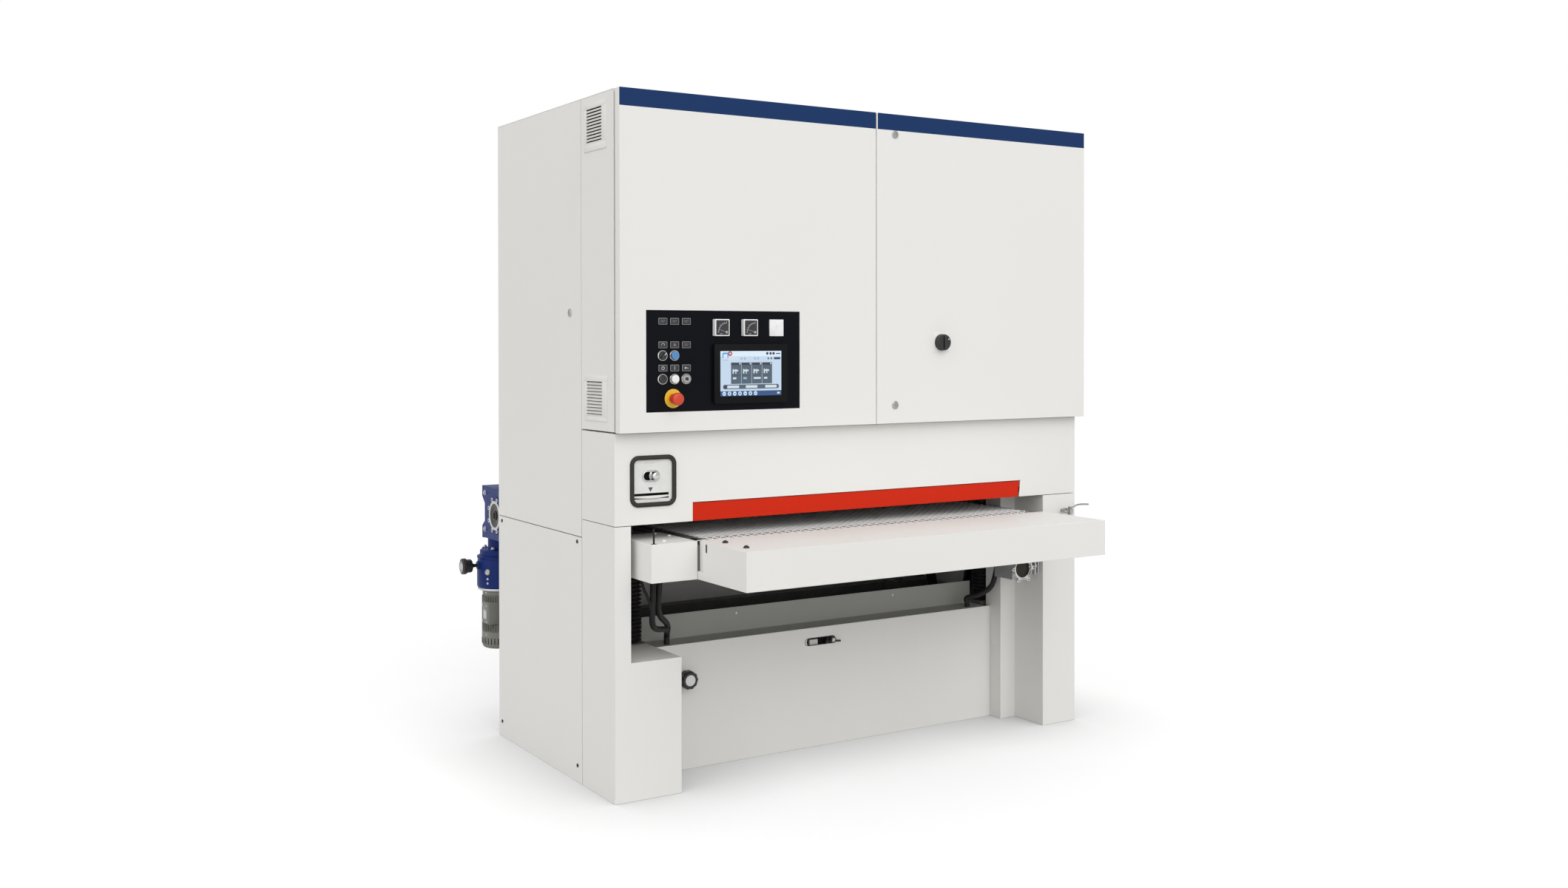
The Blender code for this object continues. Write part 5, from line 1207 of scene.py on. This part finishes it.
def feed_drive():
    """The worm gearbox, its speed variator, motor and handwheel."""
    y, z, left, right, back, top = 1.2735, 0.7645, 0.100, 0.220, 1.4230, 0.8703
    vx, vy = 0.155, 1.376
    case = Shape()
    outline = [(y - 0.095, 0.690), (y - 0.060, 0.667), (back - 0.040, 0.667), (back, 0.664), (back, 0.7120),
               (back - 0.028, 0.7330), (back - 0.028, 0.8020), (back, 0.8290), (back, top), (back - 0.085, top),
               (y - 0.050, 0.8560), (y - 0.095, 0.8200)]
    case.plate(outline, (left + 0.004, 0, 0), (0, 1, 0), (0, 0, 1), right - left - 0.012, 0.004)
    case.rod((left, y, z), RIGHT, right - left, 0.0750, 64, 0.004)
    case.rod((left + 0.012, y, z), RIGHT, 0.1200, 0.0290, 40, 0.002)
    case.rod((vx, vy, 0.611), UP, 0.065, 0.0430, 48, 0.004)
    case.turned([(0, 0.5993), (0.0740, 0.5993), (0.0740, 0.6170), (0.0700, 0.6210), (0.046, 0.6260), (0, 0.6260)],
                (vx, vy, 0), UP, 64)
    bolt_circle = 0.058
    ears = [(vx + bolt_circle * math.cos(math.radians(a)), vy + bolt_circle * math.sin(math.radians(a)))
            for a in (45, 135, 225, 315)]
    for ear in ears:
        case.rod((*ear, 0.600), UP, 0.026, 0.0130, 24, 0.002)
    made("worm_gearbox_casting", case, "table_body", "blue", ["worm_gearbox"])
    ring = Shape()
    ring.turned([(0.0455, -0.002), (0.0570, -0.002), (0.0570, 0.0030), (0.0550, 0.0044), (0.0475, 0.0044),
                 (0.0455, 0.0030)], (left, y, z), LEFT, 72)
    lugs(ring, (left, y, z), LEFT, 0.0640, 8, 0.0085, 0.0040, 0.0044, math.radians(22.5))
    made("gearbox_cover_ring", ring, "table_body", "cast")
    # The recess is near-black metal: painted shade of the hollow.
    lathed("gearbox_hollow", [(0, -0.004), (0.0456, -0.004), (0.0456, 0.0032), (0.0430, 0.0034), (0.0270, 0.0006),
                              (0.0190, 0.0006), (0.0185, 0.0030), (0.0130, 0.0034), (0.0115, 0.0006), (0, 0.0006)],
           (left, y, z), LEFT, 56, "table_body", "dull")
    # The keyway and the shaft's bore as near-black pieces: painted shade of the openings.
    key = Shape()
    key.block((left - 0.0024, y - 0.0290, z - 0.0034), (left + 0.004, y - 0.0110, z + 0.0034), 0.0006)
    key.turned([(0, -0.001), (0.0112, -0.001), (0.0112, 0.0012), (0, 0.0012)], (left, y, z), LEFT, 32)
    made("gearbox_key", key, "table_body", "hollow")
    bolts = [((left + 0.004, y + b, c), LEFT) for b, c in ((0.117, 0.8440), (0.117, 0.7010), (-0.072, 0.8060),
                                                           (-0.072, 0.7120))]
    repeated("gearbox_bolts", hexagon_bolt(0.0150, 0.0060), bolts, "table_body", "cast")
    flange = [((*ear, 0.6260), UP) for ear in ears]
    repeated("flange_bolts", hexagon_bolt(0.0130, 0.0080), flange, "table_body", "steel")
    variator = Shape()
    variator.turned([(0, 0.4735), (0.0805, 0.4735), (0.0850, 0.4790), (0.0850, 0.5700), (0.0820, 0.5840),
                     (0.0850, 0.5900), (0.0850, 0.5960), (0.0800, 0.5990), (0, 0.5990)], (vx, vy, 0), UP, 72)
    variator.rod((vx - 0.0910, vy, 0.562), RIGHT, 0.03, 0.0160, 40, 0.002)
    variator.block((vx - 0.030, vy - 0.0870, 0.490), (vx + 0.030, vy - 0.060, 0.586), 0.004)
    made("variator_housing", variator, "table_body", "blue", ["feed_motor"])
    lathed("variator_foot_ring", [(0, 0.4640), (0.0780, 0.4640), (0.0820, 0.4660), (0.0820, 0.4733), (0, 0.4733)],
           (vx, vy, 0), UP, 72, "table_body", "cast")
    glass = Shape()
    sight = Vector((vx - 0.0665, vy - 0.0530, 0.5400))
    way = Vector((-0.78, -0.625, 0))
    glass.turned([(0, -0.004), (0.0115, -0.004), (0.0115, 0.0030), (0.0098, 0.0044), (0.0080, 0.0030), (0, 0.0030)],
                 sight, way, 36)
    for z in (0.5130, 0.4960):
        glass.turned([(0, -0.004), (0.0045, -0.004), (0.0045, 0.0020), (0, 0.0032)], (sight.x, sight.y, z), way, 16)
    made("variator_sight_plug", glass, "table_body", "nickel")
    feed_motor(vx, vy)
    wheel = Shape()
    profile = [(0, 0.0), (0.0220, 0.0), (0.0245, 0.0020), (0.0302, 0.0030), (0.0302, 0.0175), (0.0262, 0.0200),
               (0.0262, 0.0360), (0.0240, 0.0400), (0.0110, 0.0420), (0.0080, 0.0480), (0.0062, 0.0560),
               (0.0062, 0.0635), (0, 0.0635)]
    hub = (0, vy, 0.562)
    wheel.turned(profile, hub, RIGHT, 56)
    made("variator_wheel_rim", wheel, "variator_handwheel_body", "black", ["variator_handwheel"])
    grips = round_about(hub, RIGHT, range(0, 360, 15))
    ridge = Shape()
    ridge.block((0.0045, -0.0029, 0.0282), (0.0165, 0.0029, 0.0308), 0.0008)
    repeated("variator_wheel_grips", ridge, grips, "variator_handwheel_body", "black")
    lathed("variator_dial", [(0, -0.0008), (0.0218, -0.0008), (0.0218, 0.0012), (0.0206, 0.0014), (0.0202, 0.0006),
                             (0.0024, 0.0006), (0.0020, 0.0016), (0, 0.0018)], hub, LEFT, 56,
           "variator_handwheel_body", "steel")
    ticks = round_about((-0.0002, vy, 0.562), RIGHT, range(0, 360, 20))
    tick = Shape()
    tick.block((-0.0008, -0.0005, 0.0140), (0.0002, 0.0005, 0.0184))
    repeated("variator_dial_marks", tick, ticks, "variator_handwheel_body", "black")


def feed_motor(x, y):
    """A finned motor standing under the variator with its fan cowl and terminal box."""
    barrel = Shape()
    barrel.turned([(0, 0.2350), (0.0500, 0.2350), (0.0600, 0.2390), (0.0655, 0.2480), (0.0668, 0.2800),
                   (0.0668, 0.3010), (0.0600, 0.3030), (0.0590, 0.4420), (0.0640, 0.4460), (0.0640, 0.4640),
                   (0, 0.4640)], (x, y, 0), UP, 64)
    barrel.block((x - 0.0680, y - 0.0640, 0.3350), (x - 0.0250, y, 0.4200), 0.004)
    made("feed_motor_barrel", barrel, "table_body", "motor")
    fin = Shape()
    fin.block((-0.0010, 0.0560, 0.3050), (0.0010, 0.0665, 0.4400), 0.0005, 1)
    places = round_about((x, y, 0), UP, range(0, 360, 9))
    repeated("feed_motor_fins", fin, places, "table_body", "motor")
    # Near-black strips on the fan cowl: painted shade of its slots.
    slot = Shape()
    slot.block((-0.0016, 0.0660, 0.2540), (0.0016, 0.0672, 0.2780), 0.0004, 1)
    vents = round_about((x, y, 0), UP, range(0, 360, 12))
    repeated("feed_motor_cowl_slots", slot, vents, "table_body", "hollow")
    lid = Shape()
    lid.block((x - 0.0700, y - 0.0600, 0.3400), (x - 0.0670, y - 0.0040, 0.4150), 0.0012)
    lid.rod((x - 0.0460, y - 0.0320, 0.3200), UP, 0.0160, 0.0080, 24, 0.001)
    made("terminal_box_lid", lid, "table_body", "motor")
    screws = [((x - 0.0700, y + b, z), LEFT) for b in (-0.0540, -0.0100) for z in (0.3460, 0.4090)]
    screws += [((x - 0.0600, y - 0.0225, z), (-0.93, -0.36, 0)) for z in (0.2900, 0.4550)]
    repeated("feed_motor_screws", cap_screw(0.0036, 0.0030), screws, "table_body", "chrome")
    boxed("blank_rating_plate", (x - 0.0712, y - 0.0480, 0.3560), (x - 0.0698, y - 0.0160, 0.3900), 0.0004,
          "table_body", "steel")


# Tray, slot lever, handwheel and air valve at the front.

def front_fittings():
    screws = [((0.62, 0.2320, 0.4226), UP), ((1.30, 0.2320, 0.4226), UP), ((0.62, 0.3178, 0.4850), FRONT),
              ((1.30, 0.3178, 0.4850), FRONT)]
    repeated("tray_screws", cap_screw(0.0045, 0.0022), screws, "frame_body", "steel")
    z = 0.3728
    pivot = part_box("slot_lever")[1].x - CORNER.x - 0.032
    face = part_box("lower_front_panel")[0].y - CORNER.y
    lever = Shape()
    lever.turned([(0, -0.0150), (0.0190, -0.0150), (0.0190, -0.0026), (0.0083, -0.0026), (0.0083, 0.0100),
                  (0.0110, 0.0104), (0.0110, 0.0128), (0, 0.0140)], (pivot, face, z), FRONT, 36)
    reach = [(0, 0.0110, 0.003), (0.012, 0.0116, 0.004), (0.024, 0.0112, 0.0055), (0.0305, 0.0104, 0.0060)]
    lever.tube(smooth_route([(pivot + a, face - b, z - c) for a, b, c in reach], 5), 0.0034, 14)
    made("slot_lever_clamp", lever, "slot_lever_body", "black", ["slot_lever"])
    repeated("slot_lever_bolt", hexagon_bolt(0.0095, 0.0036), [((pivot, face - 0.0128, z), FRONT)], "slot_lever_body",
             "steel")
    left_end, right_end = pivot + 0.0155 - 0.1285, pivot + 0.0155
    edge = Shape()
    outline = rounded_outline(left_end, right_end, z - 0.0125, z + 0.0125, 0.0124, 8)
    edge.tube([(a, face - 0.0002, b) for a, b in outline], 0.0011, 8, closed=True)
    made("slot_edging", edge, "frame_body", "black")
    # A near-black sheet behind the slot: painted shade.
    boxed("slot_backing", (left_end - 0.012, face + 0.0300, z - 0.020), (right_end + 0.012, face + 0.0315, z + 0.020),
          0, "frame_body", "hollow")
    boxed("slot_scale_plate", (left_end + 0.030, face + 0.0160, z - 0.0190),
          (left_end + 0.064, face + 0.0290, z + 0.0040), 0.001, "frame_body", "gauge")
    hub = (0.355, face, 0.310)
    lathed("front_wheel_rim", [(0, 0.0003), (0.0130, 0.0003), (0.0130, 0.0185), (0.0240, 0.0200), (0.0292, 0.0230),
                               (0.0300, 0.0380), (0.0292, 0.0510), (0.0262, 0.0556), (0.0190, 0.0562),
                               (0.0187, 0.0545), (0, 0.0545)], hub, FRONT, 64, "front_handwheel_body", "black",
           ["front_handwheel"])
    lobe = Shape()
    lobe.rod((0.0262, 0, 0.0230), UP, 0.0300, 0.0048, 20, 0.0016)
    turn = FRONT.to_track_quat("Z", "Y")
    lobes = [(place, turn @ spin) for place, spin in round_about(hub, UP, range(0, 360, 36))]
    repeated("front_wheel_lobes", lobe, lobes, "front_handwheel_body", "black")
    lathed("front_wheel_disc", [(0, 0.0540), (0.0184, 0.0540), (0.0184, 0.0552), (0.0176, 0.0558), (0, 0.0560)], hub,
           FRONT, 56, "front_handwheel_body", "gauge")
    air_valve()


def air_valve():
    x, y, z = 1.856, -0.045, 0.800
    valve = Shape()
    valve.turned([(0, 0), (0.0062, 0), (0.0062, 0.0160), (0.0100, 0.0165), (0.0100, 0.0300), (0.0062, 0.0306),
                  (0.0062, 0.0447), (0, 0.0447)], (x, y, z), -FRONT, 32)
    valve.turned([(0, -0.0125), (0.0085, -0.0125), (0.0120, -0.0080), (0.0124, 0), (0.0120, 0.0080), (0.0075, 0.0120),
                  (0, 0.0120)], (x, y, z), UP, 36)
    valve.turned([(0, -0.0200), (0.0078, -0.0200), (0.0078, -0.0140), (0.0062, -0.0136), (0.0062, 0.0050),
                  (0, 0.0050)], (x, y, z), RIGHT, 6)
    valve.turned([(0, -0.0280), (0.0048, -0.0280), (0.0054, -0.0260), (0.0048, -0.0240), (0.0054, -0.0220),
                  (0.0048, -0.0200), (0, -0.0195)], (x, y, z), RIGHT, 24)
    made("air_valve_body", valve, "frame_body", "nickel", ["air_valve"])
    lever = Shape()
    lever.turned([(0, 0.0123), (0.0086, 0.0123), (0.0086, 0.0150), (0.0050, 0.0172), (0.0046, 0.0190), (0, 0.0190)],
                 (x, y, z), UP, 28)
    lever.tube(smooth_route([(x, y, z + 0.0145), (x + 0.016, y, z + 0.0150), (x + 0.036, y, z + 0.0215),
                             (x + 0.062, y, z + 0.0225), (x + 0.0930, y, z + 0.0205)], 6),
               [0.0030] * 8 + [0.0034] * 9 + [0.0036] * 8, 12)
    made("air_valve_handle", lever, "air_valve_lever_body", "nickel", ["air_valve_lever"])


# Sanding units and motor inside the body.

def sanding_units():
    for side in ("front", "rear"):
        softened(f"{side}_sanding_belt", f"{side}_belt_grit", "grit", 0.0003)
        softened(f"{side}_contact_drum", f"{side}_drum_cover", "drum", 0.002)
        softened(f"{side}_tension_roller", f"{side}_tension_tube", "steel", 0.002)
    softened("pressure_roller", "pressure_roller_cover", "roll", 0.001)
    softened("motor_pulley", "motor_pulley_rim", "cast", 0.0015)
    softened("drive_belt", "drive_belt_jacket", "rubber", 0.0008)
    softened("main_motor", "main_motor_case", "motor", 0.004)
    low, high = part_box("main_motor")
    x0, x1 = low.x - CORNER.x, high.x - CORNER.x
    fin = Shape()
    fin.block((0.05, -0.0016, 0.1285), (x1 - x0 - 0.06, 0.0016, 0.1385), 0.0005, 1)
    places = round_about((x0, 0.605, 0.300), RIGHT, range(-132, 133, 8))
    repeated("main_motor_fins", fin, places, "frame_body", "motor")
    for side in ("front", "rear"):
        low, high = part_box(f"{side}_contact_drum")
        end = high.x - CORNER.x
        y, z = (low.y + high.y) / 2 - CORNER.y, (low.z + high.z) / 2
        ribs = Shape()
        for index in range(4):
            ribs.turned([(0.0560, -0.0013), (0.0602, -0.0013), (0.0602, 0.0013), (0.0560, 0.0013)],
                        (end - 0.0410 + index * 0.0107, y, z), RIGHT, 40)
        made(f"{side}_pulley_grooves", ribs, f"{side}_contact_drum_body", "cast")


# Floor, background, light and camera.

def backdrop(looks):
    scene = bpy.context.scene
    world = bpy.data.worlds.new("studio")
    world.use_nodes = True
    scene.world = world
    nodes, links = world.node_tree.nodes, world.node_tree.links
    fill = nodes["Background"]
    fill.inputs["Color"].default_value = (1, 1, 1, 1)
    fill.inputs["Strength"].default_value = looks.fill_light
    white = nodes.new("ShaderNodeBackground")
    white.inputs["Color"].default_value = (1, 1, 1, 1)
    white.inputs["Strength"].default_value = 1.0
    ways = nodes.new("ShaderNodeLightPath")
    pick = nodes.new("ShaderNodeMixShader")
    links.new(ways.outputs["Is Camera Ray"], pick.inputs[0])
    links.new(fill.outputs[0], pick.inputs[1])
    links.new(white.outputs[0], pick.inputs[2])
    links.new(pick.outputs[0], nodes["World Output"].inputs["Surface"])
    mesh = bpy.data.meshes.new("floor")
    reach = 14.0
    mesh.from_pydata([(-reach, -reach, 0), (reach, -reach, 0), (reach, reach, 0), (-reach, reach, 0)], [],
                     [(0, 1, 2, 3)])
    floor = bpy.data.objects.new("floor", mesh)
    floor.location.z = -0.0005
    mesh.materials.append(floor_finish("pale_floor", looks.floor_shade, looks.floor_lift))
    scene.collection.objects.link(floor)
    machine_middle, lamp_distance = at(0.9, 0.4, 1.1), 6
    for name, bearing, height, softness, power in (
            ("key_light", -4, 40, 50, looks.key_light), ("side_light", 84, 28, 60, looks.side_light),
            ("low_light", 14, 8, 60, looks.low_light)):
        light = bpy.data.lights.new(name, "SUN")
        light.energy = power
        light.angle = math.radians(softness)
        lamp = bpy.data.objects.new(name, light)
        scene.collection.objects.link(lamp)
        way = Euler((math.radians(height), 0, math.radians(bearing))).to_matrix() @ Vector((0, 1, 0))
        way.y = -way.y
        lamp.location = machine_middle + lamp_distance * way
        lamp.rotation_euler = way.to_track_quat("Z", "Y").to_euler()
    lens = bpy.data.cameras.new("view_camera")
    lens.lens, lens.sensor_width, lens.shift_y = 33.64, 36.0, -0.0572
    camera = bpy.data.objects.new("view_camera", lens)
    scene.collection.objects.link(camera)
    camera.location = at(-1.9707, -4.1143, 1.4367)
    camera.rotation_euler = (math.radians(89.5), math.radians(0.064), math.radians(-32.196))
    scene.camera = camera
    scene.view_settings.view_transform = "Standard"


# Settings, operators, panel.

class SanderLooks(bpy.types.PropertyGroup):
    body_colour: FloatVectorProperty(name="Body colour", description="White powder coat of the covers",
                                     default=(0.80, 0.793, 0.765), subtype="COLOR", min=0, max=1)
    stripe_colour: FloatVectorProperty(name="Stripe colour", description="Blue stripe over both front doors",
                                       default=(0.004, 0.030, 0.120), subtype="COLOR", min=0, max=1)
    bar_colour: FloatVectorProperty(name="Bar colour", description="Red safety bar",
                                    default=(0.60, 0.018, 0.000), subtype="COLOR", min=0, max=1)
    stripe_height: FloatProperty(name="Stripe height", description="Height of the blue stripe",
                                 default=0.056, min=0.0, max=0.3, unit="LENGTH")
    edge_width: FloatProperty(name="Edge rounding", description="Rounding of the sheet covers' edges",
                              default=0.0009, min=0.0001, max=0.003, unit="LENGTH")
    rib_pitch: FloatProperty(name="Rib pitch", description="Width of the diamonds on the feed belt",
                             default=0.030, min=0.015, max=0.06, unit="LENGTH")
    bellows_folds: IntProperty(name="Bellows folds", description="Folds of each bellows", default=20, min=4, max=40)
    slats: IntProperty(name="Grille slats", description="Slats of each ventilation grille", default=11, min=3, max=20)
    fill_light: FloatProperty(name="Fill light", description="Strength of the light from all round", default=0.74,
                              min=0, max=3)
    key_light: FloatProperty(name="Key light", description="Strength of the light in front and above", default=0.85,
                             min=0, max=20)
    side_light: FloatProperty(name="Side light", description="Strength of the light on the left", default=0.60, min=0,
                              max=20)
    low_light: FloatProperty(name="Low light", description="Strength of the low light in front", default=0.60, min=0,
                             max=20)
    floor_shade: FloatProperty(name="Floor shade", description="How much light the floor gives back", default=0.45,
                               min=0, max=1)
    floor_lift: FloatProperty(name="Floor lift", description="Light added to the floor for the camera", default=0.58,
                              min=0, max=1)


class SANDER_OT_coat(bpy.types.Operator):
    """Paints and rounds the covers and frames, and sets their screws and hinges"""

    bl_idname = "sander.coat"
    bl_label = "Covers and frames"

    def execute(self, context):
        coat_panels(context.scene.sander_looks)
        panel_screws()
        return {"FINISHED"}


class SANDER_OT_doors(bpy.types.Operator):
    """Adds the door locks and the main switch"""

    bl_idname = "sander.doors"
    bl_label = "Door fittings"

    def execute(self, context):
        door_fittings()
        return {"FINISHED"}


class SANDER_OT_controls(bpy.types.Operator):
    """Adds the control panel with its buttons, meters and screen"""

    bl_idname = "sander.controls"
    bl_label = "Control panel"

    def execute(self, context):
        control_panel()
        return {"FINISHED"}


class SANDER_OT_window(bpy.types.Operator):
    """Adds the gauge window of the hood"""

    bl_idname = "sander.window"
    bl_label = "Gauge window"

    def execute(self, context):
        gauge_window()
        return {"FINISHED"}


class SANDER_OT_grilles(bpy.types.Operator):
    """Adds the ventilation grilles of the cabinet"""

    bl_idname = "sander.grilles"
    bl_label = "Grilles"

    def execute(self, context):
        grilles(context.scene.sander_looks)
        return {"FINISHED"}


class SANDER_OT_belt(bpy.types.Operator):
    """Adds the ribbed feed belt and its rollers"""

    bl_idname = "sander.belt"
    bl_label = "Feed belt"

    def execute(self, context):
        feed_belt(context.scene.sander_looks)
        return {"FINISHED"}


class SANDER_OT_table(bpy.types.Operator):
    """Adds the table's fittings, the bellows, the hoses and the lift gearbox"""

    bl_idname = "sander.table"
    bl_label = "Table and lift"

    def execute(self, context):
        table_fittings()
        lift_parts(context.scene.sander_looks)
        return {"FINISHED"}


class SANDER_OT_drive(bpy.types.Operator):
    """Adds the feed gearbox, variator, motor and handwheel"""

    bl_idname = "sander.drive"
    bl_label = "Feed drive"

    def execute(self, context):
        feed_drive()
        return {"FINISHED"}


class SANDER_OT_front(bpy.types.Operator):
    """Adds the slot lever, the front handwheel and the air valve"""

    bl_idname = "sander.front"
    bl_label = "Front fittings"

    def execute(self, context):
        front_fittings()
        return {"FINISHED"}


class SANDER_OT_units(bpy.types.Operator):
    """Adds the sanding units, their belts and their motor"""

    bl_idname = "sander.units"
    bl_label = "Sanding units"

    def execute(self, context):
        sanding_units()
        return {"FINISHED"}


class SANDER_OT_stage(bpy.types.Operator):
    """Sets the floor, background, lights and camera"""

    bl_idname = "sander.stage"
    bl_label = "Stage"

    def execute(self, context):
        backdrop(context.scene.sander_looks)
        return {"FINISHED"}


OPERATORS = (SANDER_OT_coat, SANDER_OT_doors, SANDER_OT_controls, SANDER_OT_window, SANDER_OT_grilles,
             SANDER_OT_belt, SANDER_OT_table, SANDER_OT_drive, SANDER_OT_front, SANDER_OT_units, SANDER_OT_stage)


class SANDER_PT_looks(bpy.types.Panel):
    """The machine's settings and the steps that build it"""

    bl_idname = "SANDER_PT_looks"
    bl_label = "Wide-belt sander"
    bl_space_type = "VIEW_3D"
    bl_region_type = "UI"
    bl_category = "Sander"

    def draw(self, context):
        looks = context.scene.sander_looks
        for name in SanderLooks.__annotations__:
            self.layout.prop(looks, name)
        for kind in OPERATORS:
            self.layout.operator(kind.bl_idname)


CLASSES = (SanderLooks, *OPERATORS, SANDER_PT_looks)


def register():
    for kind in CLASSES:
        bpy.utils.register_class(kind)
    bpy.types.Scene.sander_looks = PointerProperty(type=SanderLooks)


def unregister():
    del bpy.types.Scene.sander_looks
    for kind in reversed(CLASSES):
        bpy.utils.unregister_class(kind)


def main():
    """Registers the add-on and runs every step."""
    register()
    looks = bpy.context.scene.sander_looks
    TREES.update(copies=copies_tree(), row=row_tree())
    mix_finishes(looks)
    bpy.ops.sander.coat()
    bpy.ops.sander.doors()
    bpy.ops.sander.controls()
    bpy.ops.sander.window()
    bpy.ops.sander.grilles()
    bpy.ops.sander.belt()
    bpy.ops.sander.table()
    bpy.ops.sander.drive()
    bpy.ops.sander.front()
    bpy.ops.sander.units()
    bpy.ops.sander.stage()


if __name__ == "__main__":
    main()
